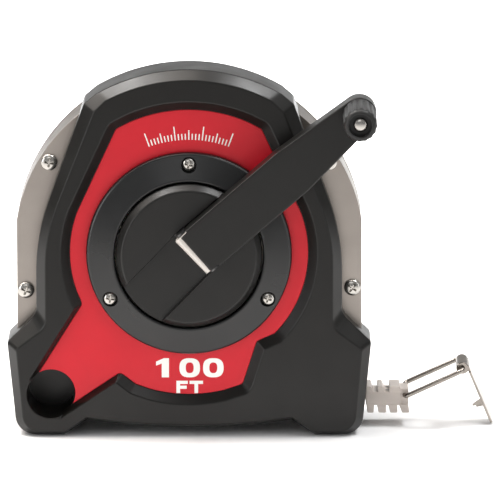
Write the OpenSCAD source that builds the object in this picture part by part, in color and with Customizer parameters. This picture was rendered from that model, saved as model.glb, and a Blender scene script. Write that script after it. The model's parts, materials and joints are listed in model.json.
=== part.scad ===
// Closed-case long tape reel with a folding crank, a 3 to 1 planetary rewind and a hooked blade end.
// Every shape is drawn around the hub: x to the right of it, z above the feet, and depth d in front of
// the mid-plane of the case, so that y = -d. in_frame() then moves it to the origin of the part.

/* [Case] */
// Height of the hub axis above the feet
hub_z = 85.7; // [84:0.1:88]
// Radius of the moulded top about the hub
top_r = 84.5; // [83:0.5:86]
// Half width of the moulded case at its shoulders
shoulder_x = 83.4; // [82.5:0.1:84.5]
// Half width of the moulded case at its waist
waist_x = 69.9; // [68:0.1:71]
// Depth of the flat front face, half the thickness of the case
face_d = 28; // [27.5:0.5:29]
// Depth where the outer chamfer begins
chamfer_d = 22.5; // [21:0.5:24]
// Clearance between mouldings and the parts that they hold
gap = 0.3; // [0.2:0.05:0.4]

/* [Front panel] */
// Depth of the red panel's surface
panel_d = 24.5; // [24:0.1:25]
// Thickness of the red panel
panel_t = 2; // [1.5:0.1:2.2]
// Radius of the panel's round sides
panel_r = 54.5; // [53:0.5:56]
// Radius of the panel's top arch and bottom tab
tab_r = 66.4; // [65:0.1:68]
// Width of the bevel from the panel up to the front face
bevel_w = 4.2; // [3:0.1:4.5]

/* [Knob well] */
// Direction of the well from the hub, anticlockwise from the right
well_angle = 226.1; // [225.9:0.1:226.3]
// Distance of the well from the hub
well_dist = 91.3; // [91:0.1:92]
// Radius of the well
well_r = 11; // [10.9:0.1:11.2]
// Depth of the well's floor
well_floor_d = 3.2; // [3:0.1:3.4]

/* [Drum housing] */
// Outer radius of the steel housing about the hub
housing_r = 80; // [79:0.5:80.5]
// Half width of the steel housing at its flat sides
housing_x = 78.9; // [78:0.1:79.2]
// Height of the housing's floor
housing_z = 9.5; // [9:0.5:10]
// Depth of the outside of the two side plates
plate_d = 14.1; // [14:0.1:14.3]
// Thickness of the side plates and of the rim band
plate_t = 1.2; // [1:0.1:1.4]
// Radius of the posts between the side plates
post_r = 2.7; // [2.5:0.1:2.8]

/* [Drum] */
// Outer radius of the wound blade
coil_r = 62; // [58:0.5:63]
// Inner radius of the wound blade
coil_core_r = 30; // [28:0.5:32]
// Width of the blade
blade_w = 13; // [12:0.5:13]
// Radius of the drum flanges
flange_r = 66; // [64:0.5:67]
// Radius of the fixed axle
axle_r = 5; // [4.5:0.1:5.5]
// Running clearance of turning parts on their pins
run = 0.05; // [0.03:0.01:0.08]

/* [Planetary rewind] */
// Gear module
gear_m = 1.25; // [1.25:0.05:1.25]
// Teeth of the sun gear on the drum
sun_z = 24; // [24:1:24]
// Teeth of each planet gear
planet_z = 12; // [12:1:12]
// Teeth of the fixed ring gear
ring_z = 48; // [48:1:48]
// Number of planet gears
planets = 3; // [3:1:3]
// Tooth thickness taken off for backlash
backlash = 0.2; // [0.15:0.01:0.3]

/* [Crank] */
// Direction of the disc's channel from the hub at rest, anticlockwise from the right
crank_angle = 43.6; // [43.5:0.1:43.7]
// Angle between the channel and the arm, so that the folded arm reaches the well
arm_skew = 2.5; // [2.4:0.1:2.6]
// Distance of the hinge pin from the hub axis
hinge_x = 5.6; // [5.4:0.1:5.8]
// Depth of the hinge pin
hinge_d = 38.3; // [38:0.1:38.6]
// Distance of the knob from the hub axis
knob_x = 102.6; // [102:0.1:103]
// Half width of the arm at its root
arm_w = 11.3; // [11:0.1:11.5]
// Depth of the back of the arm
arm_back_d = 33; // [32.9:0.1:33.2]
// Depth of the front of the arm
arm_front_d = 43.8; // [43:0.1:43.9]
// Radius of the arm's tip
arm_tip_r = 7.8; // [7.6:0.1:8]
// Radius of the knob
knob_r = 7.6; // [7.2:0.1:7.6]
// Depth of the knob's tip
knob_tip_d = 71; // [65:0.5:72]
// Depth of the hub disc's face
hub_face_d = 35; // [34.8:0.1:35.5]

/* [Blade end] */
// Height of the blade in the mouth
mouth_z = 13; // [12.8:0.1:13.2]
// Thickness of the coated blade
blade_t = 0.4; // [0.3:0.05:0.5]
// Left end of the straight blade inside the case
tongue_x = 29; // [28:1:30]
// Diameter of the bail wire
wire = 2.2; // [2:0.1:2.2]
// Width of the bail over its wire centres
bail_w = 16.5; // [16:0.5:17]
// Length of the bail between its two cross wires
bail_len = 29.5; // [29:0.5:31]
// Tilt of the bail above the horizontal
bail_angle = 26; // [24:1:28]
// Roll of the bail about its own length
bail_roll = 9; // [0:1:10]
// Slope of the hook plate below the horizontal
hook_angle = 68; // [66:1:70]

/* [Hidden] */
$fn = 64;

// Place of the hub axis and of the case's mid-plane in the part's frame, whose origin is the bottom
// centre of the whole reel with its crank and its hook out
case_x = -28.3;
case_y = 21.5;

// Case outlines
belly_z = 3.3;
belly_r = 308;
belly_x = 47;
corner_steps = 6;
wall = 3.2;
floor_t = 2.1;
back_slope = 12.2;
rear_panel_r = 50;
// How much narrower the panel's bevel is along the wedge
wedge_slim = 2.2;

// Drum and gears
flange_t = 1;
gear_back_d = 15.4;
gear_front_d = 21.4;
sun_r = gear_m * sun_z / 2;
planet_r = gear_m * planet_z / 2;
ring_r = gear_m * ring_z / 2;
planet_dist = sun_r + planet_r;
pressure = 20;
carrier_d = [22.4, 27.2];
ring_seat_r = 36;
cover_r = 46.9;
cover_body_r = 44.9;
cover_bore_r = 33.9;
cover_top_d = 31.6;
cover_screw_r = 41.5;
hub_r = 33.3;
channel_w = 11.7;
channel_d = 32.2;
ear_r = 2.5;

// Fastener places: [x, z] about the hub column
post_places = [[-74.8, 66.1], [-63.8, 125.7], [74.7, 67.3], [63.8, 125.7], [-40, 16.5], [70, 32]];
shell_screw_r = 60.5;
front_screw_angles = [72, 108, 255, 285];
rear_screw_angles = [50, 130, 222, 318];
foot_screw = [66, 5];
cover_screw_angles = [90, 210, 330];

well = well_dist * [cos(well_angle), sin(well_angle)] + [0, hub_z];
lead_x = -6;
bail_pivot = [99.2, 15.6];
mouth_x = 80.2;
guide_x = 72.5;

// ---- helpers -------------------------------------------------------------------------------

function unit(v) = v / norm(v);

// The points of one rounded corner: from, at and to are [x, z], r its radius
function corner_arc(from, at, to, r) =
    r <= 0 ? [at] :
    let (u = unit(from - at), v = unit(to - at), half = acos(u * v) / 2,
         centre = at + unit(u + v) * r / sin(half), p = at + u * r / tan(half) - centre,
         q = at + v * r / tan(half) - centre, start = atan2(p.y, p.x), turn = atan2(q.y, q.x) - start,
         sweep = turn > 180 ? turn - 360 : turn < -180 ? turn + 360 : turn)
    [for (i = [0:corner_steps]) centre + r * [cos(start + sweep * i / corner_steps),
                                              sin(start + sweep * i / corner_steps)]];

function flat(p) = [p.x, p.y];

// An outline from its corners, each [x, z, radius]
function rounded(c) = [for (i = [0:len(c) - 1])
    each corner_arc(flat(c[(i + len(c) - 1) % len(c)]), flat(c[i]), flat(c[(i + 1) % len(c)]), c[i].z)];

// A closed outline from its right half, listed from the bottom centre to the top centre
function both_sides(half) = concat(half, [for (i = [len(half) - 1:-1:0]) if (half[i].x > 0)
    [-half[i].x, half[i].y, half[i].z]]);

function arc(r, from, to, n) = [for (i = [0:n]) let (a = from + (to - from) * i / n)
    [r * cos(a), hub_z + r * sin(a), 0]];

// Each point of a closed outline moved outward by w, for a bevel
function grown(p, w) = [for (i = [0:len(p) - 1])
    let (a = p[(i + len(p) - 1) % len(p)], b = p[(i + 1) % len(p)], along = unit(b - a))
    p[i] + w * [along.y, -along.x]];

// A solid through two outlines with the same number of points, at depths d0 and d1. Both outlines run
// anticlockwise and are seen whole from the hub, so each end is a fan of triangles about it
module loft(lower, d0, upper, d1) {
    n = len(lower);
    points = concat([for (p = lower) [p.x, -d0, p.y]], [for (p = upper) [p.x, -d1, p.y]],
        [[0, -d0, hub_z], [0, -d1, hub_z]]);
    polyhedron(points, [for (i = [0:n - 1]) let (j = (i + 1) % n)
        each [[2 * n, i, j], [2 * n + 1, n + j, n + i], [i, n + i, j], [n + i, n + j, j]]]);
}

// A flat outline made into a solid from depth d0 to depth d1
module slab(d0, d1) {
    translate([0, -d0, 0])
        rotate([90, 0, 0])
            linear_extrude(d1 - d0)
                children();
}

// A round bar along the depth
module rod(place, r, d0, d1) {
    translate([place.x, -d0, place.y])
        rotate([90, 0, 0])
            cylinder(r = r, h = d1 - d0);
}

// A profile of [radius, depth] points turned about the hub
module turned(profile) {
    translate([0, 0, hub_z])
        rotate([90, 0, 0])
            rotate_extrude()
                polygon(profile);
}

function around(r, angle) = [r * cos(angle), hub_z + r * sin(angle)];

module in_frame() {
    translate([case_x, case_y, 0])
        children();
}

// Parts of the crank are drawn with the arm along +x of the hub and turned to the arm's direction
module on_crank() {
    translate([0, 0, hub_z])
        rotate([0, -crank_angle, 0])
            children();
}

// The arm is drawn along +x too, and leans from the channel's direction by its skew
module on_arm() {
    on_crank()
        skewed(arm_skew)
            children();
}

module skewed(angle) {
    translate([hinge_x, 0, 0])
        rotate([0, angle, 0])
            translate([-hinge_x, 0, 0])
                children();
}

// ---- case ----------------------------------------------------------------------------------

function belly(z0, n) = [for (i = [0:n]) let (x = belly_x * i / n)
    [x, z0 + belly_r - sqrt(belly_r * belly_r - x * x), 0]];

// Right half of the case outline behind the chamfer
function body_half() = concat(belly(belly_z, 4), [
    [57.5, 0, 2], [79, 0, 9], [shoulder_x, 43.6, 3], [waist_x, 56.6, 8], [waist_x, 92.6, 100],
    [47.8, 154.2, 3.5]], arc(top_r, 60, 90, 5));

// Right half of the outline of the flat front face
function face_half() = concat(belly(belly_z + 2.4, 4), [
    [56.6, 2.4, 2], [75.6, 2.4, 8], [shoulder_x - 4.4, 41.2, 3], [waist_x - 4.4, 51.3, 8],
    [waist_x - 4.4, 94.5, 80], [43, 151.4, 3]], arc(top_r - 4.2, 62, 90, 5));

module case_block() {
    body = rounded(both_sides(body_half()));
    face = rounded(both_sides(face_half()));
    slab(0, chamfer_d)
        polygon(body);
    loft(body, chamfer_d, face, face_d);
}

// The space that the rear half keeps within: the case's outline, sinking towards the back. It is
// squeezed by the cosine of the slope, so that it is the outline itself at the mid-plane
module sinking_block() {
    top_z = hub_z + top_r;
    squeezed = [for (p = rounded(both_sides(body_half()))) [p.x, (p.y - top_z) * cos(back_slope)]];
    translate([0, 0, top_z])
        rotate([back_slope, 0, 0])
            slab(-60, face_d + 60)
                polygon(squeezed);
}

module housing_2d(grow) {
    difference() {
        union() {
            intersection() {
                translate([0, hub_z])
                    circle(housing_r + grow);
                translate([-housing_x - grow, hub_z - 1])
                    square([2 * (housing_x + grow), housing_r + 10]);
            }
            polygon(rounded([[-housing_x - grow, housing_z - grow, 8], [housing_x + grow, housing_z - grow, 8],
                [housing_x + grow, hub_z, 0], [-housing_x - grow, hub_z, 0]]));
        }
        // the corner that the knob well takes
        translate(well)
            rotate(well_angle) {
                circle(well_r + 2.6 - grow);
                translate([0, grow - well_r - 2.6])
                    square([45, 2 * (well_r + 2.6 - grow)]);
            }
    }
}

// The panel's outline, anticlockwise: right side, top arch, left side, wedge to the well, bottom tab.
// The wedge's two sides are drawn closer together by slim on each side.
function panel_outline(slim = 0) = let (inner_r = bevel_w + 1) rounded(concat(
    [[31, 44.2, inner_r]],
    arc(panel_r, -44, 20, 8),
    [[around(tab_r, 60).x, around(tab_r, 60).y, 3]],
    arc(tab_r, 66, 114, 5),
    [[around(tab_r, 120).x, around(tab_r, 120).y, 3]],
    arc(panel_r, 160, 200, 5),
    [[around(panel_r, 206 + 1.24 * slim).x, around(panel_r, 206 + 1.24 * slim).y, inner_r]],
    [[well.x - 6.5 + 0.85 * slim, well.y + 8.4 - 0.53 * slim, 0], [well.x, well.y + 2, 0],
     [well.x + 6.5 - 0.56 * slim, well.y - 7.5 + 0.83 * slim, 0]],
    [[-31.6 - 0.83 * slim, 29.5 + 0.64 * slim, inner_r]],
    [[-24.6, around(tab_r, 250).y + 0.8, 3]],
    arc(tab_r, 254, 284, 4),
    [[24.6, around(tab_r, 290).y + 0.8, 3]]));

module shell_hollows(screw_angles, cavity_d, cavity_z) {
    slab(-1, plate_d + gap)
        housing_2d(gap);
    difference() {
        slab(plate_d - 1, cavity_d)
            intersection() {
                offset(delta = -wall)
                    polygon(rounded(both_sides(body_half())));
                translate([-waist_x, 50])
                    square([2 * waist_x, cavity_z - 50]);
            }
        for (a = screw_angles)
            rod(around(shell_screw_r, a), 4.5, plate_d, cavity_d + 1);
    }
    for (p = post_places)
        rod(p, 4.6, plate_d - 1, plate_d + 3);
    slab(-9.8, 9.8)
        translate([mouth_x - 6, mouth_z - 3.6])
            square([14, 7.4]);
}

module front_shell() {
    color("#30302e")
        difference() {
            case_block();
            shell_hollows(front_screw_angles, panel_d - panel_t - floor_t, 160);
            slab(panel_d - panel_t, face_d + 1)
                polygon(panel_outline());
            loft(panel_outline(), panel_d, grown(panel_outline(wedge_slim), bevel_w + 0.3), face_d + 0.25);
            rod([0, hub_z], cover_body_r + gap, plate_d, face_d + 1);
            rod(well, well_r, well_floor_d, face_d + 1);
            for (a = front_screw_angles) {
                rod(around(shell_screw_r, a), 1.6, plate_d - 1, face_d);
                rod(around(shell_screw_r, a), 3.2, panel_d - panel_t - 2.2, face_d);
            }
            for (s = [-1, 1])
                rod([s * foot_screw.x, foot_screw.y], 1.5, -1, 12);
        }
}

module rear_shell() {
    color("#30302e")
        mirror([0, 1, 0])
            difference() {
                intersection() {
                    case_block();
                    sinking_block();
                }
                shell_hollows(rear_screw_angles, face_d - 6, 146);
                rod([0, hub_z], rear_panel_r + gap, face_d - 2.6, face_d + 1);
                for (a = rear_screw_angles) {
                    rod(around(shell_screw_r, a), 1.6, plate_d - 1, face_d + 1);
                    rod(around(shell_screw_r, a), 3.4, face_d - 6, face_d + 1);
                }
                for (a = cover_screw_angles)
                    rod(around(cover_screw_r, a), 1.4, face_d - 7, face_d + 1);
                for (s = [-1, 1]) {
                    rod([s * foot_screw.x, foot_screw.y], 1.6, -1, face_d + 1);
                    rod([s * foot_screw.x, foot_screw.y], 2.6, face_d - 8, face_d + 1);
                }
            }
}

module front_panel() {
    color("#c82a36")
        difference() {
            slab(panel_d - panel_t, panel_d)
                offset(delta = -0.1)
                    polygon(panel_outline());
            rod([0, hub_z], cover_body_r + gap, panel_d - 3, panel_d + 1);
            rod(well, well_r + 0.1, panel_d - 3, panel_d + 1);
        }
}

module rear_panel() {
    color("#c82a36")
        mirror([0, 1, 0])
            difference() {
                rod([0, hub_z], rear_panel_r, face_d - 2.6, face_d - 1.4);
                for (a = cover_screw_angles)
                    rod(around(cover_screw_r, a), 1.6, face_d - 3, face_d);
            }
}

module frame_plate(centre_hole_r, screw_angles) {
    difference() {
        slab(plate_d - plate_t, plate_d)
            housing_2d(0);
        rod([0, hub_z], centre_hole_r, plate_d - 3, plate_d + 1);
        for (p = post_places)
            rod(p, 1.7, plate_d - 3, plate_d + 1);
        for (a = screw_angles)
            rod(around(shell_screw_r, a), 1.5, plate_d - 3, plate_d + 1);
    }
}

module front_plate() {
    color("#a59e98")
        difference() {
            frame_plate(20, front_screw_angles);
            for (a = cover_screw_angles)
                rod(around(cover_screw_r, a), 1.5, plate_d - 3, plate_d + 1);
        }
}

module rear_plate() {
    color("#a59e98")
        mirror([0, 1, 0])
            frame_plate(4 + run, rear_screw_angles);
}

module rim_band() {
    color("#a59e98")
        difference() {
            slab(plate_t - plate_d, plate_d - plate_t)
                difference() {
                    housing_2d(0);
                    housing_2d(-plate_t);
                }
            slab(-9.8, 9.8)
                translate([mouth_x - 8, mouth_z - 3.6])
                    square([14, 7.4]);
        }
}

module frame_posts() {
    color("#b8b4ae")
        for (p = post_places)
            difference() {
                rod(p, post_r, plate_t - plate_d, plate_d - plate_t);
                for (s = [-1, 1])
                    rod(p, 1.5, s * 10.5 - 2.5, s * 10.5 + 2.5);
            }
}

// A pan-head screw along the depth, with its head from head_d forward and its shank back to tip_d
module pan_screw(place, head_r, head_d, head_t, shank_r, tip_d) {
    difference() {
        union() {
            rod(place, head_r, head_d, head_d + head_t * 0.6);
            rod(place, head_r * 0.8, head_d, head_d + head_t);
            rod(place, shank_r, tip_d, head_d);
        }
        for (w = [[2.6, 0.7], [0.7, 2.6]] * head_r / 3.5)
            translate([place.x - w.x, -head_d - head_t - 1, place.y - w.y] )
                cube([2 * w.x, 1 + head_t * 0.6, 2 * w.y]);
    }
}

module frame_screws() {
    color("#d8d6d0")
        for (side = [0, 1])
            mirror([0, side, 0])
                for (p = post_places)
                    pan_screw(p, 3.8, plate_d, 2.2, 1.5, plate_d - 5);
}

module shell_screws() {
    color("#8c8c8a") {
        for (a = front_screw_angles)
            pan_screw(around(shell_screw_r, a), 3, panel_d - panel_t - 2.2, 2, 1.5, plate_d - 2.4);
        mirror([0, 1, 0]) {
            for (a = rear_screw_angles)
                pan_screw(around(shell_screw_r, a), 3.2, face_d - 6, 2.2, 1.5, plate_d - 2.4);
            for (s = [-1, 1])
                pan_screw([s * foot_screw.x, foot_screw.y], 2.5, face_d - 8, 2, 1.5, -11);
        }
    }
}

// ---- gear train ----------------------------------------------------------------------------

function involute(base_r, r) = let (t = sqrt(max(0, r * r / (base_r * base_r) - 1))) t * 180 / PI - atan(t);

// Half the angle that a tooth takes up at radius r
function tooth_half(z, r, thin) = let (pitch_r = gear_m * z / 2, base_r = pitch_r * cos(pressure))
    90 / z - thin / 2 / pitch_r * 180 / PI + involute(base_r, pitch_r) - involute(base_r, max(r, base_r));

// Outline of a gear with a tooth centred on the angle first
function gear_outline(z, root_r, tip_r, thin, first) =
    let (n = 4, base_r = max(root_r, gear_m * z / 2 * cos(pressure)),
         radii = concat([root_r], [for (i = [0:n]) base_r + (tip_r - base_r) * i / n]))
    [for (k = [0:z - 1]) let (c = first + k * 360 / z)
        each concat([for (r = radii) let (a = c - tooth_half(z, r, thin)) r * [cos(a), sin(a)]],
                    [for (i = [len(radii) - 1:-1:0])
                        let (r = radii[i], a = c + tooth_half(z, r, thin)) r * [cos(a), sin(a)]])];

module ring_gear() {
    color("#c9b078")
        difference() {
            rod([0, hub_z], ring_seat_r - 0.05, plate_d + 0.1, gear_front_d + 0.4);
            slab(plate_d, gear_front_d + 1)
                translate([0, hub_z])
                    polygon(gear_outline(ring_z, ring_r - 0.7, ring_r + 1.3, -backlash, 180 / ring_z));
        }
}

module sun_gear() {
    color("#c9b078")
        difference() {
            union() {
                slab(gear_back_d, gear_front_d)
                    translate([0, hub_z])
                        polygon(gear_outline(sun_z, sun_r - 1.35, sun_r + 1, backlash, 0));
                rod([0, hub_z], 12, blade_w / 2 + 0.6, gear_back_d);
            }
            rod([0, hub_z], axle_r + 0.3, 0, gear_front_d + 1);
        }
}

function planet_angle(i) = 90 + i * 360 / planets;

module planet_gear(i) {
    centre = around(planet_dist, planet_angle(i));
    color("#e6e2d6")
        difference() {
            slab(gear_back_d, gear_front_d)
                translate(centre)
                    polygon(gear_outline(planet_z, planet_r - 1.35, planet_r + 1, backlash,
                        planet_angle(i) + 180 / planet_z));
            rod(centre, 2.5 + run, gear_back_d - 1, gear_front_d + 1);
        }
}

module planet_gear_1() {
    planet_gear(0);
}

module planet_gear_2() {
    planet_gear(1);
}

module planet_gear_3() {
    planet_gear(2);
}

module planet_pins() {
    color("#c8c8c8")
        for (i = [0:planets - 1]) {
            centre = around(planet_dist, planet_angle(i));
            rod(centre, 2.5, gear_back_d - 0.3, carrier_d[1] - 0.4);
        }
}

module gear_cover() {
    crown = [[cover_r, 26.4], [46.6, 27.3], [45.8, 28], [44.6, 28.4], [35.4, cover_top_d - 0.2],
        [34.7, cover_top_d]];
    color("#3c3c3a")
        difference() {
            turned(concat([[ring_seat_r, plate_d + 0.05], [cover_body_r, plate_d + 0.05],
                [cover_body_r, panel_d + 0.05], [cover_r, panel_d + 0.05]], crown,
                [[cover_bore_r, cover_top_d - 0.8], [cover_bore_r, carrier_d[0] - 0.4],
                [ring_seat_r, carrier_d[0] - 0.4]]));
            for (a = cover_screw_angles) {
                rod(around(cover_screw_r, a), 1.6, plate_d - 1, face_d);
                rod(around(cover_screw_r, a), 3.4, 26.6, cover_top_d + 1);
            }
        }
}

module cover_screws() {
    color("#d8d6d0") {
        for (a = cover_screw_angles)
            pan_screw(around(cover_screw_r, a), 3, 26.6, 2, 1.5, plate_d - 2.4);
        mirror([0, 1, 0])
            for (a = cover_screw_angles)
                pan_screw(around(cover_screw_r, a), 3, face_d - 1.4, 1.2, 1.4, face_d - 5.6);
    }
}

module drum_axle() {
    color("#bdbdbd")
        difference() {
            union() {
                rod([0, hub_z], axle_r, -10.4, 29.3);
                rod([0, hub_z], 10, plate_t - plate_d, -10.4);
                rod([0, hub_z], 4, -20, plate_t - plate_d);
            }
            difference() {
                rod([0, hub_z], axle_r + 1, carrier_d[1] + 0.3, carrier_d[1] + 1.3);
                rod([0, hub_z], axle_r - 1, carrier_d[1], carrier_d[1] + 2);
            }
        }
}

module axle_nut() {
    color("#8c8c8a")
        difference() {
            translate([0, plate_d, hub_z])
                rotate([-90, 0, 0])
                    cylinder(r = 7.5, h = 4, $fn = 6);
            rod([0, hub_z], 4, -20, -plate_d + 1);
        }
}

module axle_clip() {
    color("#5c5c5c")
        difference() {
            rod([0, hub_z], 7.6, carrier_d[1] + 0.3, carrier_d[1] + 1.3);
            rod([0, hub_z], axle_r - 1, carrier_d[1], carrier_d[1] + 2);
            slab(carrier_d[1], carrier_d[1] + 2)
                translate([0, hub_z - 2.5])
                    square([10, 5]);
        }
}

// ---- drum ----------------------------------------------------------------------------------

module drum_core() {
    color("#2c2c2c")
        difference() {
            rod([0, hub_z], coil_core_r - 0.05, -blade_w / 2 - 0.5, blade_w / 2 + 0.5);
            rod([0, hub_z], 8, -20, 20);
            for (i = [0:5])
                rod(around(19, 30 + i * 60), 5, -20, 20);
        }
}

module drum_flange(boss_r) {
    difference() {
        rod([0, hub_z], flange_r, blade_w / 2 + 0.55, blade_w / 2 + 0.55 + flange_t);
        rod([0, hub_z], boss_r, 0, 20);
        for (i = [0:5])
            rod(around(19, i * 60), 3, 0, 20);
    }
}

module drum_front_flange() {
    color("#9a9a98")
        drum_flange(12.05);
}

module drum_rear_flange() {
    color("#9a9a98")
        mirror([0, 1, 0])
            drum_flange(8.05);
}

module drum_bushing() {
    color("#b98d4b")
        difference() {
            rod([0, hub_z], 8, -8.6, 7);
            rod([0, hub_z], axle_r + run, -20, 20);
        }
}

module tape_coil() {
    color("#e8e4d0")
        difference() {
            rod([0, hub_z], coil_r, -blade_w / 2, blade_w / 2);
            rod([0, hub_z], coil_core_r, -20, 20);
        }
}

// ---- crank ---------------------------------------------------------------------------------

module crank_carrier() {
    color("#6b6b69")
        difference() {
            rod([0, hub_z], 33, carrier_d[0], carrier_d[1]);
            rod([0, hub_z], axle_r + run, 0, 40);
            for (i = [0:planets - 1]) {
                rod(around(planet_dist, planet_angle(i)), 2.5, 0, carrier_d[1] - 0.4);
                rod(around(planet_dist, planet_angle(i) + 60), 1.5, 0, 40);
                rod(around(planet_dist, planet_angle(i) + 60), 3.1, 0, carrier_d[0] + 2.2);
            }
        }
}

module hub_screws() {
    color("#8c8c8a")
        for (i = [0:planets - 1]) {
            centre = around(planet_dist, planet_angle(i) + 60);
            rod(centre, 3, carrier_d[0] + 0.2, carrier_d[0] + 2.2);
            rod(centre, 1.45, carrier_d[0] + 2.2, carrier_d[1] + 3.3);
        }
}

module crank_hub() {
    color("#333331")
        difference() {
            turned([[0, carrier_d[1] + 0.05], [hub_r, carrier_d[1] + 0.05], [hub_r, 31.4], [30.6, hub_face_d],
                [0, hub_face_d]]);
            rod([0, hub_z], 8.2, carrier_d[1], carrier_d[1] + 2.6);
            for (i = [0:planets - 1])
                rod(around(planet_dist, planet_angle(i) + 60), 1.5, carrier_d[1], carrier_d[1] + 3.5);
            on_crank() {
                skewed(arm_skew)
                    translate([0, -hub_face_d - 1, -channel_w])
                        cube([40, hub_face_d + 1 - channel_d, 2 * channel_w]);
                skewed(-arm_skew)
                    translate([-40, -hub_face_d - 1, -channel_w])
                        cube([48, hub_face_d + 1 - channel_d, 2 * channel_w]);
                translate([2, -channel_d, -11.55])
                    cube([22, 1, 23.1]);
                for (s = [-1, 1])
                    rod([16, s * 6], 1.5, channel_d - 2.6, channel_d);
            }
        }
}

module hinge_bracket() {
    color("#c9c6c0")
        on_crank()
            difference() {
                union() {
                    translate([2.05, -channel_d, -11.5])
                        cube([21.9, 0.95, 23]);
                    for (s = [-1, 1])
                        translate([0, 0, s * 10.95 - 0.55]) {
                            translate([hinge_x - ear_r, -hinge_d, 0])
                                cube([2 * ear_r, hinge_d - channel_d, 1.1]);
                            translate([hinge_x, -hinge_d, 0])
                                cylinder(r = ear_r, h = 1.1);
                        }
                }
                translate([hinge_x, -hinge_d, -20])
                    cylinder(r = 1.5, h = 40);
                for (s = [-1, 1])
                    rod([16, s * 6], 1.5, channel_d - 3, channel_d + 1);
            }
}

module bracket_rivets() {
    color("#c9c6c0")
        on_crank()
            for (s = [-1, 1])
                rod([16, s * 6], 1.5, channel_d - 2.5, channel_d);
}

module hinge_pin() {
    color("#b0aca6")
        on_crank()
            translate([hinge_x, -hinge_d, -11.5])
                cylinder(r = 1.5, h = 23);
}

module arm_strap() {
    color("#dcd6cf")
        on_crank()
            difference() {
                union() {
                    translate([hinge_x, -hinge_d, -10.2])
                        cylinder(r = 4.2, h = 20.4);
                    translate([hinge_x, -hinge_d - 1, -8])
                        cube([20, 2, 16]);
                }
                translate([hinge_x, -hinge_d, -20])
                    cylinder(r = 1.5 + run, h = 40);
            }
}

module crank_arm() {
    root_x = hinge_x - 1.2;
    color("#353533")
        on_arm()
            difference() {
                slab(arm_back_d, arm_front_d)
                    union() {
                        polygon([[root_x, -arm_w], [62, -arm_w], [knob_x + 0.7, -arm_tip_r],
                            [knob_x + 0.7, arm_tip_r], [62, arm_w], [root_x, arm_w]]);
                        translate([knob_x, 0])
                            circle(arm_tip_r);
                    }
                skewed(-arm_skew) {
                    // room for the bracket's ears, which stand beside the strap
                    for (s = [-1, 1])
                        translate([root_x - 2, -50, s * 11.4 - 1.2])
                            cube([hinge_x + ear_r + 0.5 - root_x + 2, 30, 2.4]);
                    translate([hinge_x, -hinge_d, -10.2])
                        cylinder(r = 4.2, h = 20.4);
                    translate([hinge_x, -hinge_d - 1, -8])
                        cube([20, 2, 16]);
                }
                rod([knob_x, 0], 2, arm_back_d + 2, arm_front_d + 1);
            }
}

module knob_stud() {
    color("#dcdcdc")
        on_arm() {
            rod([knob_x, 0], 2, arm_back_d + 2, knob_tip_d - 3.2);
            rod([knob_x, 0], 3.2, knob_tip_d - 3.2, knob_tip_d - 2.2);
            rod([knob_x, 0], 2.4, knob_tip_d - 2.2, knob_tip_d - 1.6);
        }
}

module crank_knob() {
    color("#2b2b2a")
        on_arm()
            difference() {
                rod([knob_x, 0], knob_r, arm_front_d + 0.25, knob_tip_d);
                rod([knob_x, 0], 2 + run, 0, knob_tip_d + 1);
                rod([knob_x, 0], 5.2, knob_tip_d - 3.3, knob_tip_d + 1);
                for (i = [0:15])
                    rod([knob_x, 0] + (knob_r + 0.4) * [cos(i * 22.5), sin(i * 22.5)], 1, 48, knob_tip_d - 3.5);
            }
}

// ---- mouth and blade end -------------------------------------------------------------------

module mouth_guide() {
    color("#3a3a38")
        difference() {
            slab(-9.5, 9.5)
                translate([guide_x, mouth_z - 3.3])
                    square([mouth_x - guide_x, 6.8]);
            slab(-7, 7)
                translate([60, mouth_z - 0.6])
                    square([30, 1.2]);
            slab(-7.3, 7.3)
                translate([guide_x + 1.2, mouth_z - 2.2])
                    square([4.5, 4.4]);
        }
}

module wiper_pads() {
    color("#d9d2c0")
        for (z = [mouth_z - 2.15, mouth_z + 0.35])
            slab(-7.2, 7.2)
                translate([guide_x + 1.3, z])
                    square([4.3, 1.8]);
}

// Height of the free blade between the coil and its straight end
function lead_z(x) = let (t = (x - lead_x) / (tongue_x - 0.4 - lead_x))
    mouth_z + (hub_z - sqrt(coil_r * coil_r - lead_x * lead_x) - 0.5 - mouth_z) * (1 + cos(180 * t)) / 2;

module blade_lead() {
    steps = 14;
    xs = [for (i = [0:steps]) lead_x + (tongue_x - 0.4 - lead_x) * i / steps];
    color("#e8e4d0")
        slab(-blade_w / 2, blade_w / 2)
            polygon(concat([for (x = xs) [x, lead_z(x) - blade_t / 2]],
                [for (i = [steps:-1:0]) [xs[i], lead_z(xs[i]) + blade_t / 2]]));
}

module blade_end() {
    color("#e8e4d0")
        difference() {
            translate([tongue_x, -blade_w / 2, mouth_z - blade_t / 2])
                cube([68, blade_w, blade_t]);
            for (s = [-1, 1])
                translate([91.5, s * 3.2, mouth_z - 1])
                    cylinder(r = 1.2, h = 2);
        }
}

module blade_rivets() {
    color("#6e6a64")
        for (s = [-1, 1])
            translate([91.5, s * 3.2, mouth_z - 3.6])
                cylinder(r = 1.2, h = 7.2);
}

// One fin of the bumper: its foot is on the core and its tip leans to the right
module fin(x0, w, z0, z1, lean, depth) {
    slab(-depth / 2, depth / 2)
        polygon(z1 > z0 ? [[x0, z0], [x0 + w, z0], [x0 + w - 1 + lean, z1], [x0 + lean, z1]]
                        : [[x0 + w, z0], [x0, z0], [x0 + lean, z1], [x0 + w - 1 + lean, z1]]);
}

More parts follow.
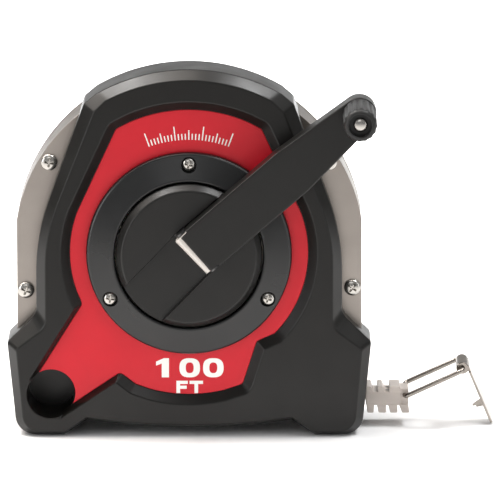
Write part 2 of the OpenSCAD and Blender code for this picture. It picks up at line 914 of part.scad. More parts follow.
module end_bumper() {
    core = [9.9, 16.4];
    color("#c3bab0")
        difference() {
            union() {
                slab(-6.8, 6.8)
                    translate([81.2, core[0]])
                        square([16.1, core[1] - core[0]]);
                slab(-6, 6)
                    translate([92.5, core[0]])
                        square([8.5, core[1] + 1.2 - core[0]]);
                for (f = [[81.5, 3.4, -0.2], [86.8, 3.4, -0.4]])
                    fin(f[0], f[1], core[1] - 0.5, 18.8, f[2], 14);
                fin(92, 5.8, core[1] - 0.5, 18.9, 0, 14);
                for (f = [[81.4, 3.8, 0.6], [86.2, 4.4, 1], [91.4, 4.4, 1.1], [96.4, 4.4, 1.6]])
                    fin(f[0], f[1], core[0] + 0.5, 6.4, f[2], 14);
            }
            translate([80, -blade_w / 2, mouth_z - blade_t / 2])
                cube([17, blade_w, blade_t]);
            for (s = [-1, 1])
                translate([91.5, s * 3.2, mouth_z - 3.6])
                    cylinder(r = 1.2, h = 7.2);
            at_bail()
                translate([0, 12, 0])
                    rotate([90, 0, 0])
                        cylinder(r = wire / 2 + run, h = 24);
        }
}

// The bail and the hook are drawn with the bail along +x from its pivot
module at_bail() {
    translate([bail_pivot.x, 0, bail_pivot.y])
        rotate([bail_roll, 0, 0])
            rotate([0, -bail_angle, 0])
                children();
}

// A straight wire between two points of the bail's plane
module wire_run(a, b) {
    length = norm(b - a);
    translate([a.x, a.y, 0])
        rotate([0, 0, atan2(b.y - a.y, b.x - a.x)])
            rotate([0, 90, 0])
                cylinder(r = wire / 2, h = length);
}

module wire_bend(centre, bend_r, start) {
    translate([centre.x, centre.y, 0])
        rotate([0, 0, start])
            rotate_extrude(angle = 90)
                translate([bend_r, 0])
                    circle(wire / 2);
}

module hook_bail() {
    w = bail_w / 2;
    bend_r = 2.2;
    color("#a8a096")
        at_bail()
            for (s = [0, 1])
                mirror([0, s, 0]) {
                    wire_run([0, w - bend_r], [0, 2.6]);
                    wire_bend([bend_r, w - bend_r], bend_r, 90);
                    wire_run([bend_r, w], [bail_len - bend_r, w]);
                    wire_bend([bail_len - bend_r, w - bend_r], bend_r, 0);
                    wire_run([bail_len, w - bend_r], [bail_len, 0]);
                }
}

// The hook is drawn around the bail's cross wire, then turned to hang from it
module end_hook() {
    knuckle_w = 5.4;
    plate_len = 30.5;
    sheet = 1.1;
    color("#b4aca2")
        at_bail()
            translate([bail_len, 0, 0])
                rotate([0, bail_angle + hook_angle, 0])
                    difference() {
                        union() {
                            rotate([90, 0, 0])
                                cylinder(r = 2.9, h = 2 * knuckle_w, center = true);
                            translate([0, -knuckle_w, 2])
                                cube([4, 2 * knuckle_w, sheet]);
                            translate([2.5, -6.2, 2])
                                cube([plate_len - 2.5, 12.4, sheet]);
                            for (s = [-1, 1])
                                translate([21 + s * 2.9, s * 5.8 - 0.4, -1])
                                    rotate([90, 0, 0])
                                        linear_extrude(0.8, center = true)
                                            polygon([[-1.4, 3.3], [1.4, 3.3], [0.6, -1.4]]);
                        }
                        rotate([90, 0, 0])
                            cylinder(r = wire / 2 + run, h = 30, center = true);
                    }
}

// ---- the part ------------------------------------------------------------------------------

in_frame() {
    front_shell();
    rear_shell();
    front_panel();
    rear_panel();
    front_plate();
    rear_plate();
    rim_band();
    frame_posts();
    frame_screws();
    shell_screws();
    gear_cover();
    cover_screws();
    ring_gear();
    drum_axle();
    axle_nut();
    axle_clip();
    mouth_guide();
    wiper_pads();
    blade_lead();
    crank_carrier();
    crank_hub();
    hub_screws();
    planet_pins();
    hinge_bracket();
    bracket_rivets();
    hinge_pin();
    planet_gear_1();
    planet_gear_2();
    planet_gear_3();
    crank_arm();
    arm_strap();
    knob_stud();
    crank_knob();
    drum_core();
    drum_front_flange();
    drum_rear_flange();
    drum_bushing();
    sun_gear();
    tape_coil();
    blade_end();
    blade_rivets();
    end_bumper();
    hook_bail();
    end_hook();
}
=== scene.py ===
"""Looks of a closed-case long tape reel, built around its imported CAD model.

Shapes are worked out in millimetres around the hub, as in the CAD source: x to the right of the hub,
d the depth in front of the case's mid-plane (y = -d) and z above the feet. piece() moves them into the
frame, in metres. Most pieces stand for the CAD node that they replace. The print is added, and the nodes
inside keep their CAD shape and get a material.
"""
import json
import math
import random

import bmesh
import bpy
from mathutils import Matrix, Vector


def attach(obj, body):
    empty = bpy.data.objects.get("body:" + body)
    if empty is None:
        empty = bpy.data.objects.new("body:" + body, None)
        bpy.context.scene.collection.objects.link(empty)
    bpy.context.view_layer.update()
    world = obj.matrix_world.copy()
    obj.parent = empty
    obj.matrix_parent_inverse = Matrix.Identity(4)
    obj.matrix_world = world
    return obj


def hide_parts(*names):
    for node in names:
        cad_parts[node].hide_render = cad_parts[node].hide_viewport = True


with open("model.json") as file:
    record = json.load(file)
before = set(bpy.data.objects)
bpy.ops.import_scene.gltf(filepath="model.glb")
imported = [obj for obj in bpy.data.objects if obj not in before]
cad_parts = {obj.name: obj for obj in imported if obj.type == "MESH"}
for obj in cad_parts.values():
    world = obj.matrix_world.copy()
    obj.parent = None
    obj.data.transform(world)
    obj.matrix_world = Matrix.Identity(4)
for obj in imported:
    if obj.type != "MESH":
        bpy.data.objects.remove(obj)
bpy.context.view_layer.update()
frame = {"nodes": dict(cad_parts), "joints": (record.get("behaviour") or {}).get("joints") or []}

MM = 0.001
JOINTS = {j["name"]: j for j in frame["joints"]}
HUB = Vector(JOINTS["crank_spin"]["pos_m"])
TO_FRAME = Matrix.Translation((HUB.x, HUB.y, 0)) @ Matrix.Scale(MM, 4)

# ---- sizes that repeat the CAD source, in millimetres and degrees --------------------------------

HUB_Z = HUB.z / MM
TOP_R, SHOULDER_X, WAIST_X = 84.5, 83.4, 69.9
FACE_D, CHAMFER_D = 28.0, 22.5
GAP, BACK_SLOPE = 0.3, 12.2
PANEL_D, PANEL_T, PANEL_R, TAB_R, BEVEL_W = 24.5, 2.0, 54.5, 66.4, 4.2
WELL_ANGLE, WELL_DIST, WELL_R, WELL_FLOOR_D = 226.1, 91.3, 11.0, 3.2
HOUSING_R, HOUSING_X, HOUSING_Z = 80.0, 78.9, 9.5
PLATE_D, PLATE_T = 14.1, 1.2
POST_PLACES = [(-74.8, 66.1), (-63.8, 125.7), (74.7, 67.3), (63.8, 125.7), (-40, 16.5), (70, 32)]
SHELL_SCREW_R, COVER_SCREW_R = 60.5, 41.5
FRONT_SCREW_ANGLES, REAR_SCREW_ANGLES = (72, 108, 255, 285), (50, 130, 222, 318)
FOOT_SCREW = (66, 5)
COVER_SCREW_ANGLES = (90, 210, 330)
FRONT_SEAT_D, REAR_SEAT_D, FOOT_SEAT_D = PANEL_D - PANEL_T - 2.2, FACE_D - 6, FACE_D - 8
COVER_SEAT_D, PANEL_FLOOR, SHANK_R, SHANK_HOLE_R = 26.6, 2.1, 1.5, 1.6
REAR_PANEL_R, REAR_PANEL_D = 50.0, FACE_D - 1.4
COVER_R, COVER_BODY_R, COVER_BORE_R, COVER_TOP_D, RING_SEAT_R = 46.9, 44.9, 33.9, 31.6, 36.0
CRANK_ANGLE, ARM_SKEW = 43.6, 2.5
DISC_R, DISC_FACE_R, DISC_FACE_D, CHANNEL_W, CHANNEL_D = 33.3, 30.6, 35.0, 11.7, 32.2
HINGE_X, HINGE_D, EAR_R, KNOB_X = 5.6, 38.3, 2.5, 102.6
ARM_W, ARM_BACK_D, ARM_FRONT_D, ARM_TIP_R, ARM_TAPER_X = 11.3, 33.0, 43.8, 7.8, 62.0
KNOB_R, KNOB_TIP_D, STUD_R, STUD_HEAD_R, STUD_HEAD_D = 7.6, 71.0, 2.0, 3.2, 67.8
MOUTH_X, MOUTH_Z, MOUTH_HALF_W, MOUTH_BELOW, MOUTH_ABOVE = 80.2, 13.0, 9.8, 3.6, 3.8
BLADE_T, BLADE_W, TONGUE_X, BLADE_END_X = 0.4, 13.0, 29.0, 97.0
WIRE, BAIL_W, BAIL_LEN, BAIL_ANGLE, BAIL_ROLL, HOOK_ANGLE = 2.2, 16.5, 29.5, 26.0, 9.0, 68.0
BAIL_PIVOT = (99.2, 15.6)

WELL = (WELL_DIST * math.cos(math.radians(WELL_ANGLE)),
        HUB_Z + WELL_DIST * math.sin(math.radians(WELL_ANGLE)))


# ---- outlines: closed lists of (x, z), anticlockwise ----------------------------------------------

CORNER_STEPS = 10


def around(radius, angle, centre=(0.0, None)):
    """The point at that radius and angle about the hub, or about a centre."""
    z0 = HUB_Z if centre[1] is None else centre[1]
    return (centre[0] + radius * math.cos(math.radians(angle)), z0 + radius * math.sin(math.radians(angle)))


def arc(radius, start, end, steps, centre=(0.0, None)):
    return [around(radius, start + (end - start) * i / steps, centre) for i in range(steps + 1)]


def corner(before, at, after, radius):
    """The points of one rounded corner."""
    at, before, after = Vector(at), Vector(before), Vector(after)
    if radius <= 0:
        return [tuple(at)]
    u, v = (before - at).normalized(), (after - at).normalized()
    half = math.acos(max(-1.0, min(1.0, u.dot(v)))) / 2
    centre = at + (u + v).normalized() * radius / math.sin(half)
    p, q = at + u * radius / math.tan(half) - centre, at + v * radius / math.tan(half) - centre
    start = math.atan2(p.y, p.x)
    sweep = (math.atan2(q.y, q.x) - start + math.pi) % (2 * math.pi) - math.pi
    return [(centre.x + radius * math.cos(start + sweep * i / CORNER_STEPS),
             centre.y + radius * math.sin(start + sweep * i / CORNER_STEPS)) for i in range(CORNER_STEPS + 1)]


def rounded(corners):
    """An outline from its corners, each (x, z, radius)."""
    n = len(corners)
    return [p for i in range(n) for p in corner(corners[i - 1][:2], corners[i][:2], corners[(i + 1) % n][:2],
                                                corners[i][2])]


def both_sides(half):
    return half + [(-x, z, r) for x, z, r in reversed(half) if x > 1e-6]


def offset(points, w):
    """A closed outline moved outward by w, with mitred corners."""
    out = []
    n = len(points)
    for i in range(n):
        a, b, c = Vector(points[i - 1]), Vector(points[i]), Vector(points[(i + 1) % n])
        e, f = (b - a), (c - b)
        if e.length < 1e-9 or f.length < 1e-9:
            e = f = e if e.length > f.length else f
        n1, n2 = Vector((e.y, -e.x)).normalized(), Vector((f.y, -f.x)).normalized()
        m = (n1 + n2).normalized()
        out.append(tuple(b + m * w / max(0.35, m.dot(n1))))
    return out


def grown_corners(corners, w, least=0.7):
    """Corners (x, z, radius) moved outward by w: outer corners get rounder and inner ones tighter."""
    n = len(corners)
    moved = offset([c[:2] for c in corners], w)
    out = []
    for i in range(n):
        a, b, c = (Vector(corners[j % n][:2]) for j in (i - 1, i, i + 1))
        turn = (b - a).cross(c - b)
        radius = corners[i][2]
        if radius > 0:
            radius = radius + w if turn > 0 else max(least, radius - w)
        out.append((*moved[i], radius))
    return out


def mix(a, b, t):
    return [(p[0] + (q[0] - p[0]) * t, p[1] + (q[1] - p[1]) * t) for p, q in zip(a, b)]


def bezier(a, b, c, steps=5):
    """Points along a quadratic curve from a to c that b pulls on."""
    return [tuple((1 - t) ** 2 * p + 2 * t * (1 - t) * q + t * t * r for p, q, r in zip(a, b, c))
            for t in (i / steps for i in range(steps + 1))]


def belly(z0):
    belly_r, belly_x, steps = 308.0, 47.0, 12
    return [(x, z0 + belly_r - math.sqrt(belly_r ** 2 - x * x), 0) for x in
            (belly_x * i / steps for i in range(steps + 1))]


def flat_arc(radius, start, end, steps):
    return [(*p, 0) for p in arc(radius, start, end, steps)]


def body_outline():
    """The case behind its chamfer."""
    return rounded(both_sides(belly(3.3) + [
        (57.5, 0, 2), (79, 0, 9), (SHOULDER_X, 43.6, 3), (WAIST_X, 56.6, 8), (WAIST_X, 92.6, 100),
        (47.8, 154.2, 3.5)] + flat_arc(TOP_R, 60, 90, 18)))


def face_outline():
    """The flat front face, with as many points as the body's outline."""
    return rounded(both_sides(belly(5.7) + [
        (56.6, 2.4, 2), (75.6, 2.4, 8), (SHOULDER_X - 4.4, 41.2, 3), (WAIST_X - 4.4, 51.3, 8),
        (WAIST_X - 4.4, 94.5, 80), (43, 151.4, 3)] + flat_arc(TOP_R - 4.2, 62, 90, 18)))


def panel_outline(w=0.0):
    """The panel and its recess, w wider all round: right side, top arch, left side, wedge and tab.

    The recess grows only half as fast along the wedge."""
    inner_r = 2.2
    slim = 0.49 * max(w, 0)
    tab_low = [around(TAB_R, a)[1] + 0.8 for a in (250, 290)]
    corners = ([(31, 44.2, inner_r)] + flat_arc(PANEL_R, -44, 20, 20) + [(*around(TAB_R, 60), 3)]
               + flat_arc(TAB_R, 66, 114, 16) + [(*around(TAB_R, 120), 3)] + flat_arc(PANEL_R, 160, 200, 12)
               + [(*around(PANEL_R, 206 + 1.24 * slim), inner_r),
                  (WELL[0] - 6.5 + 0.85 * slim, WELL[1] + 8.4 - 0.53 * slim, 0), (WELL[0], WELL[1] + 2, 0),
                  (WELL[0] + 6.5 - 0.56 * slim, WELL[1] - 7.5 + 0.83 * slim, 0),
                  (-31.6 - 0.83 * slim, 29.5 + 0.64 * slim, inner_r),
                  (-24.6, tab_low[0], 3)] + flat_arc(TAB_R, 254, 284, 12) + [(24.6, tab_low[1], 3)])
    return rounded(grown_corners(corners, w))


def housing_outline(w=0.0):
    """The steel housing's side plate: round above, square below, with a notch for the knob well."""
    half_x, radius, floor = HOUSING_X + w, HOUSING_R + w, HOUSING_Z - w
    notch_r = WELL_R + 2.6 - w
    top = math.degrees(math.acos(half_x / radius))
    u = Vector((math.cos(math.radians(WELL_ANGLE)), math.sin(math.radians(WELL_ANGLE))))
    left = Vector(around(notch_r, WELL_ANGLE - 90, WELL))
    low = Vector(around(notch_r, WELL_ANGLE + 90, WELL))
    left_exit = left + u * (-half_x - left.x) / u.x
    low_exit = low + u * (floor - low.y) / u.y
    corners = ([(*low_exit, 0), (half_x, floor, 8)]
               + flat_arc(radius, top, 180 - top, 72) + [(*left_exit, 0)])
    notch = arc(notch_r, WELL_ANGLE - 90, WELL_ANGLE - 270, 30, WELL)
    return rounded(corners) + notch


# ---- mesh building --------------------------------------------------------------------------------


def ring_at(outline, d):
    return [Vector((x, -d, z)) for x, z in outline]


def loft(rings, closed=False):
    """A solid through rings with the same number of points. A closed one joins its last ring to its first."""
    bm = bmesh.new()
    made = [[bm.verts.new(p) for p in ring] for ring in rings]
    pairs = list(zip(made, made[1:])) + ([(made[-1], made[0])] if closed else [])
    for a, b in pairs:
        n = len(a)
        for i in range(n):
            bm.faces.new((a[i], a[(i + 1) % n], b[(i + 1) % n], b[i]))
    if not closed:
        bm.faces.new(made[0])
        bm.faces.new(made[-1])
    bmesh.ops.recalc_face_normals(bm, faces=bm.faces)
    return bm


def prism(outline, d0, d1, back=0.0, front=0.0, steps=4):
    """An outline made solid from depth d0 to d1, with its back and front edges rounded."""
    profile = []
    if back > 0:
        profile += bezier((-back, d0), (0, d0), (0, d0 + back), steps)
    else:
        profile += [(0, d0)]
    if front > 0:
        profile += bezier((0, d1 - front), (0, d1), (-front, d1), steps)
    else:
        profile += [(0, d1)]
    return loft([ring_at(offset(outline, w) if w else outline, d) for w, d in profile])


def turned(profile, centre=None, segments=96):
    """A closed profile of (radius, depth) turned about the depth axis through centre.

    A radius of 0 is a pole."""
    cx, cz = centre or (0.0, HUB_Z)
    bm = bmesh.new()
    made = []
    for r, d in profile:
        if r < 1e-6:
            made.append([bm.verts.new((cx, -d, cz))])
        else:
            made.append([bm.verts.new((cx + r * math.cos(2 * math.pi * k / segments), -d,
                                       cz + r * math.sin(2 * math.pi * k / segments)))
                         for k in range(segments)])
    n = len(made)
    for i in range(n):
        a, b = made[i], made[(i + 1) % n]
        if len(a) == 1 and len(b) == 1:
            continue
        for k in range(segments):
            j = (k + 1) % segments
            corners = [a[k % len(a)], a[j % len(a)], b[j % len(b)], b[k % len(b)]]
            unique = [v for m, v in enumerate(corners) if v not in corners[:m]]
            bm.faces.new(unique)
    bmesh.ops.recalc_face_normals(bm, faces=bm.faces)
    return bm


def box(x0, x1, d0, d1, z0, z1, edge=0.0, segments=3):
    """A block, with its edges rounded."""
    bm = bmesh.new()
    bmesh.ops.create_cube(bm, size=1.0)
    for v in bm.verts:
        v.co = Vector((x0 if v.co.x < 0 else x1, -d1 if v.co.y < 0 else -d0, z0 if v.co.z < 0 else z1))
    if edge > 0:
        bmesh.ops.bevel(bm, geom=bm.edges[:], offset=edge, segments=segments, profile=0.5, affect="EDGES")
    return bm


def rod_cutter(centre, radius, d0, d1, lip=0.0, lip_d=0.0):
    """A round cutter from d0 to d1. A lip flares it out at depth lip_d, which rounds the hole's mouth."""
    if lip > 0:
        flare = bezier((radius, lip_d - lip), (radius, lip_d - 0.02), (radius + lip, lip_d + 0.03), 4)
        profile = [(0, d0), (radius, d0)] + flare + [(radius + lip + 0.3, d1), (0, d1)]
    else:
        profile = [(0, d0), (radius, d0), (radius, d1), (0, d1)]
    return turned(profile, centre, 72)


def tube(path, radius, sides=16, closed=False):
    """A round wire along a list of points."""
    rings = []
    n = len(path)
    normal = None
    for i, p in enumerate(path):
        before = path[i - 1] if i > 0 or closed else p
        after = path[(i + 1) % n] if i < n - 1 or closed else p
        along = (after - before).normalized()
        if normal is None:
            normal = along.orthogonal().normalized()
        normal = (normal - along * normal.dot(along)).normalized()
        side = along.cross(normal)
        rings.append([p + radius * (math.cos(a) * normal + math.sin(a) * side)
                      for a in (2 * math.pi * k / sides for k in range(sides))])
    return loft(rings, closed)


def joined(parts):
    """Several closed meshes in one, without cutting them."""
    whole = bmesh.new()
    for bm in parts:
        mesh = bpy.data.meshes.new("part")
        bm.to_mesh(mesh)
        bm.free()
        whole.from_mesh(mesh)
        bpy.data.meshes.remove(mesh)
    return whole


def transformed(bm, matrix):
    bmesh.ops.transform(bm, matrix=matrix, verts=bm.verts)
    return bm


def copied(bm, matrix):
    new = transformed(bm.copy(), matrix)
    if matrix.determinant() < 0:
        bmesh.ops.reverse_faces(new, faces=new.faces)
    return new


MIRROR_Y = Matrix.Scale(-1, 4, (0, 1, 0))


def scratch_object(bm):
    mesh = bpy.data.meshes.new("scratch")
    bm.to_mesh(mesh)
    bm.free()
    obj = bpy.data.objects.new("scratch", mesh)
    bpy.context.scene.collection.objects.link(obj)
    return obj


def combine(bm, others, operation="DIFFERENCE"):
    """bm with the others cut away from it, or added to it."""
    obj = scratch_object(bm)
    tools = [scratch_object(o) for o in others]
    for tool in tools:
        step = obj.modifiers.new("step", "BOOLEAN")
        step.operation, step.solver, step.object = operation, "EXACT", tool
    result = bpy.data.meshes.new_from_object(obj.evaluated_get(bpy.context.evaluated_depsgraph_get()))
    out = bmesh.new()
    out.from_mesh(result)
    bmesh.ops.remove_doubles(out, verts=out.verts, dist=1e-4)
    bmesh.ops.dissolve_degenerate(out, dist=1e-4, edges=out.edges)
    bmesh.ops.dissolve_limit(out, angle_limit=math.radians(0.2), verts=out.verts, edges=out.edges)
    for o in [obj, *tools]:
        bpy.data.meshes.remove(o.data)
    bpy.data.meshes.remove(result)
    return out


def piece(name, bm, material, body, replaced=(), sharp=35.0, matrix=None):
    """Moves a mesh into the frame and makes it a piece that rides on a body."""
    transformed(bm, TO_FRAME @ (matrix or Matrix.Identity(4)))
    for face in bm.faces:
        face.smooth = True
    for edge in bm.edges:
        edge.smooth = len(edge.link_faces) == 2 and edge.calc_face_angle(0.0) < math.radians(sharp)
    mesh = bpy.data.meshes.new(name)
    bm.to_mesh(mesh)
    bm.free()
    mesh.materials.append(material)
    obj = bpy.data.objects.new(name, mesh)
    bpy.context.scene.collection.objects.link(obj)
    weighted = obj.modifiers.new("even shading", "WEIGHTED_NORMAL")
    weighted.keep_sharp = True
    weighted.weight = 90
    shaded = bpy.data.meshes.new_from_object(obj.evaluated_get(bpy.context.evaluated_depsgraph_get()))
    obj.modifiers.clear()
    obj.data = shaded
    bpy.data.meshes.remove(mesh)
    shaded.name = name
    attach(obj, body)
    if replaced:
        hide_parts(*replaced)
    return obj


# ---- materials -------------------------------------------------------------------------------------


def linked(tree, kind, inputs=(), **settings):
    """A node with its settings and inputs. Inputs that are sockets are linked, and others are set."""
    node = tree.nodes.new(kind)
    for key, value in settings.items():
        setattr(node, key, value)
    for key, value in dict(inputs).items():
        if isinstance(value, bpy.types.NodeSocket):
            tree.links.new(value, node.inputs[key])
        else:
            node.inputs[key].default_value = value
    return node


def varied(tree, place, colour, spread, scale, detail=3.0):
    """A colour that wanders a little around itself over the surface."""
    noise = linked(tree, "ShaderNodeTexNoise", {"Vector": place, "Scale": scale, "Detail": detail})
    ramp = linked(tree, "ShaderNodeValToRGB", {"Fac": noise.outputs["Fac"]})
    ramp.color_ramp.elements[0].position, ramp.color_ramp.elements[1].position = 0.3, 0.7
    for element, share in zip(ramp.color_ramp.elements, (1 - spread, 1 + spread)):
        element.color = (*(min(1.0, c * share) for c in colour), 1)
    return ramp.outputs["Color"]


def ranged(tree, fac, low, high):
    node = linked(tree, "ShaderNodeMapRange", {"Value": fac, "From Min": 0.3, "From Max": 0.7,
                                               "To Min": low, "To Max": high})
    return node.outputs["Result"]


def surface(name, colour, rough, spread=0.08, grain=1800.0, depth=0.00003, bump=0.25, stretch=(1, 1, 1),
            rough_spread=0.05, wander=60.0, **fixed):
    """A material with grain in its surface, and colour and roughness that vary a little.

    grain is the number of grains per metre, depth how far they stand up in metres, and stretch draws them
    out. The other arguments are the shader's own sockets."""
    material = bpy.data.materials.new(name)
    material.use_nodes = True
    tree = material.node_tree
    shader = tree.nodes["Principled BSDF"]
    where = linked(tree, "ShaderNodeTexCoord").outputs["Object"]
    drawn = linked(tree, "ShaderNodeMapping", {"Vector": where, "Scale": stretch}).outputs["Vector"]
    grains = linked(tree, "ShaderNodeTexNoise", {"Vector": drawn, "Scale": grain, "Detail": 2.0,
                                                 "Roughness": 0.6})
    raised = linked(tree, "ShaderNodeBump", {"Height": grains.outputs["Fac"], "Strength": bump,
                                             "Distance": depth})
    broad = linked(tree, "ShaderNodeTexNoise", {"Vector": where, "Scale": wander, "Detail": 4.0})
    tree.links.new(raised.outputs["Normal"], shader.inputs["Normal"])
    tree.links.new(varied(tree, where, colour, spread, wander * 1.7), shader.inputs["Base Color"])
    tree.links.new(ranged(tree, broad.outputs["Fac"], rough - rough_spread, rough + rough_spread),
                   shader.inputs["Roughness"])
    for key, value in fixed.items():
        shader.inputs[key.replace("_", " ")].default_value = value
    return material


def make_materials():
    metal = {"Metallic": 1.0}
    return {
        "case": surface("moulded_black", (0.0055, 0.0050, 0.0043), 0.34, grain=2600, depth=0.00003, bump=0.2,
                        Specular_IOR_Level=0.32),
        "cover": surface("satin_black", (0.0060, 0.0063, 0.0066), 0.30, grain=3600, depth=0.00002, bump=0.15,
                         Specular_IOR_Level=0.5),
        "crank": surface("nylon_black", (0.0065, 0.0061, 0.0055), 0.36, grain=2400, depth=0.00004, bump=0.25,
                         Specular_IOR_Level=0.35),
        "knob": surface("knob_black", (0.010, 0.010, 0.0096), 0.42, grain=2600, depth=0.00003, bump=0.2,
                        Specular_IOR_Level=0.35),
        "red": surface("red_panel", (0.56, 0.008, 0.019), 0.42, spread=0.03, grain=3000, depth=0.00002,
                       bump=0.12, Specular_IOR_Level=0.35),
        "white": surface("white_print", (0.86, 0.87, 0.83), 0.45, spread=0.02, grain=4000, depth=0.00001,
                         bump=0.1),
        "ink": surface("black_print", (0.02, 0.02, 0.02), 0.5, spread=0.05, grain=4000, depth=0.00001,
                       bump=0.1),
        "nickel": surface("satin_nickel", (0.34, 0.308, 0.282), 0.40, spread=0.03, grain=2200, depth=0.00001,
                          bump=0.3, stretch=(1.6, 1.6, 0.05), **metal),
        "zinc": surface("zinc_plate", (0.62, 0.62, 0.60), 0.36, spread=0.06, grain=1500, depth=0.00001,
                        bump=0.15, **metal),
        "screw": surface("bright_plate", (0.50, 0.48, 0.45), 0.24, spread=0.03, grain=1800, depth=0.00001,
                         bump=0.1, **metal),
        "dark_screw": surface("black_oxide", (0.10, 0.10, 0.10), 0.36, grain=1800, depth=0.00001, bump=0.15,
                              **metal),
        "spring": surface("spring_steel", (0.33, 0.31, 0.29), 0.3, spread=0.1, grain=1800, depth=0.00001,
                          bump=0.15, **metal),
        "wire": surface("plated_wire", (0.32, 0.29, 0.26), 0.24, spread=0.08, grain=1600, depth=0.00001,
                        bump=0.15, **metal),
        "strap": surface("bright_strap", (0.62, 0.585, 0.545), 0.55, spread=0.03, grain=1800, depth=0.00001,
                         bump=0.2, Metallic=0.6),
        "edge_nickel": surface("dull_nickel", (0.25, 0.225, 0.205), 0.42, spread=0.05, grain=2200,
                               depth=0.00001, bump=0.3, stretch=(1.6, 0.05, 1.6), **metal),
        "bumper": surface("smoked_urethane", (0.62, 0.55, 0.50), 0.34, spread=0.06, grain=1400,
                          depth=0.00002, bump=0.15, Transmission_Weight=0.2, IOR=1.5),
        "blade": surface("coated_blade", (0.80, 0.76, 0.62), 0.3, spread=0.03, grain=2600, depth=0.00001,
                         bump=0.1, Coat_Weight=0.3),
        "acetal": surface("acetal", (0.78, 0.76, 0.69), 0.4, spread=0.03, Subsurface_Weight=0.1,
                          Subsurface_Scale=0.001),
        "brass": surface("brass", (0.72, 0.53, 0.24), 0.3, spread=0.06, **metal),
        "bronze": surface("bronze", (0.55, 0.36, 0.18), 0.45, spread=0.1, **metal),
        "felt": surface("felt", (0.55, 0.50, 0.40), 0.9, spread=0.15, grain=5000, depth=0.0002, bump=0.8,
                        Sheen_Weight=0.4),
    }


PAINT = make_materials()


# ---- case ------------------------------------------------------------------------------------------


def case_half():
    """Half of the moulded case before it is hollowed: rounded seam, side wall, chamfer and flat face."""
    seam, turn_in = 0.12, 0.45
    slope = FACE_D - CHAMFER_D
    profile = bezier((0, -turn_in, seam), (0, 0, seam), (0, 0, seam + turn_in), 4)
    profile += bezier((0, 0, CHAMFER_D - 0.6), (0, 0, CHAMFER_D), (0.1, 0, CHAMFER_D + 0.1 * slope), 5)
    profile += bezier((0.91, 0, FACE_D - 0.09 * slope), (1, 0, FACE_D), (1, -0.55, FACE_D), 5)
    body, face = body_outline(), face_outline()
    return loft([ring_at(offset(mix(body, face, t), w), d) for t, w, d in profile])


def case_hollows(cavity_d, screw_angles, roof_r):
    """Room for the steel housing, the hollow in front of it and the corners round its posts."""
    half_w = WAIST_X - 3.2
    roof = arc(roof_r, 59, 121, 24)
    cavity = [(-half_w, 52), (half_w, 52), (half_w, 90)] + roof + [(-half_w, 90)]
    cavity_tool = prism(cavity, PLATE_D - 1, cavity_d)
    bosses = [turned([(0, PLATE_D), (4.5, PLATE_D), (4.5, cavity_d + 1), (0, cavity_d + 1)],
                     around(SHELL_SCREW_R, a), 32) for a in screw_angles]
    tools = [combine(cavity_tool, bosses), prism(housing_outline(GAP), -1, PLATE_D + GAP)]
    tools += [rod_cutter(p, 4.6, PLATE_D - 1, PLATE_D + 3) for p in POST_PLACES]
    tools += [box(MOUTH_X - 6, MOUTH_X + 8, -MOUTH_HALF_W, MOUTH_HALF_W, MOUTH_Z - MOUTH_BELOW,
                  MOUTH_Z + MOUTH_ABOVE, 0.5)]
    return tools


def sinking_block():
    """The space that the rear half keeps within: the case's outline, sinking towards the back.

    It is squeezed by the cosine of the slope, so that it is the outline itself at the mid-plane."""
    slope, top_z = math.radians(BACK_SLOPE), HUB_Z + TOP_R
    sunk = prism([(x, (z - top_z) * math.cos(slope)) for x, z in body_outline()], -60, FACE_D + 60)
    turn = Matrix.Translation((0, 0, top_z)) @ Matrix.Rotation(slope, 4, "X")
    return transformed(sunk, turn)


def recess_tool():
    """The bevelled hollow that the red panel lies in, with a soft edge up to the front face."""
    slope_top = (BEVEL_W * 0.9, PANEL_D + 0.9 * (FACE_D - PANEL_D))
    profile = [(0, PANEL_D - PANEL_T), (0, PANEL_D - 0.05), (0.25, PANEL_D)]
    profile += bezier(slope_top, (BEVEL_W, FACE_D - 0.03), (BEVEL_W + 0.5, FACE_D + 0.03), 5)
    profile += [(BEVEL_W + 1.0, FACE_D + 1)]
    return loft([ring_at(panel_outline(w), d) for w, d in profile])


def build_case():
    tools = case_hollows(PANEL_D - PANEL_T - PANEL_FLOOR, FRONT_SCREW_ANGLES, TOP_R - 4)
    tools += [recess_tool(), rod_cutter(None, COVER_BODY_R + GAP, PLATE_D, FACE_D + 1),
              rod_cutter(WELL, WELL_R, WELL_FLOOR_D, FACE_D + 1, 0.7, FACE_D)]
    for a in FRONT_SCREW_ANGLES:
        place = around(SHELL_SCREW_R, a)
        tools += [rod_cutter(place, SHANK_HOLE_R, PLATE_D - 1, FACE_D),
                  rod_cutter(place, 3.2, FRONT_SEAT_D, FACE_D)]
    piece("case_front", combine(case_half(), tools), PAINT["case"], "case", ["front_shell"])

    tools = case_hollows(REAR_SEAT_D, REAR_SCREW_ANGLES, TOP_R - 14)
    tools += [rod_cutter(None, REAR_PANEL_R + GAP, FACE_D - 2.6, FACE_D + 1, 0.5, FACE_D)]
    for a in REAR_SCREW_ANGLES:
        place = around(SHELL_SCREW_R, a)
        tools += [rod_cutter(place, SHANK_HOLE_R, PLATE_D - 1, FACE_D + 1),
                  rod_cutter(place, 3.4, REAR_SEAT_D, FACE_D + 1, 0.4, FACE_D)]
    tools += [rod_cutter(around(COVER_SCREW_R, a), 1.4, FACE_D - 7, FACE_D + 1) for a in COVER_SCREW_ANGLES]
    for s in (-1, 1):
        place = (s * FOOT_SCREW[0], FOOT_SCREW[1])
        tools += [rod_cutter(place, SHANK_HOLE_R, -1, FACE_D + 1),
                  rod_cutter(place, 2.6, FOOT_SEAT_D, FACE_D + 1, 0.3, FACE_D)]
    whole = combine(case_half(), [sinking_block()], "INTERSECT")
    rear = copied(combine(whole, tools), MIRROR_Y)
    piece("case_rear", rear, PAINT["case"], "case", ["rear_shell"])


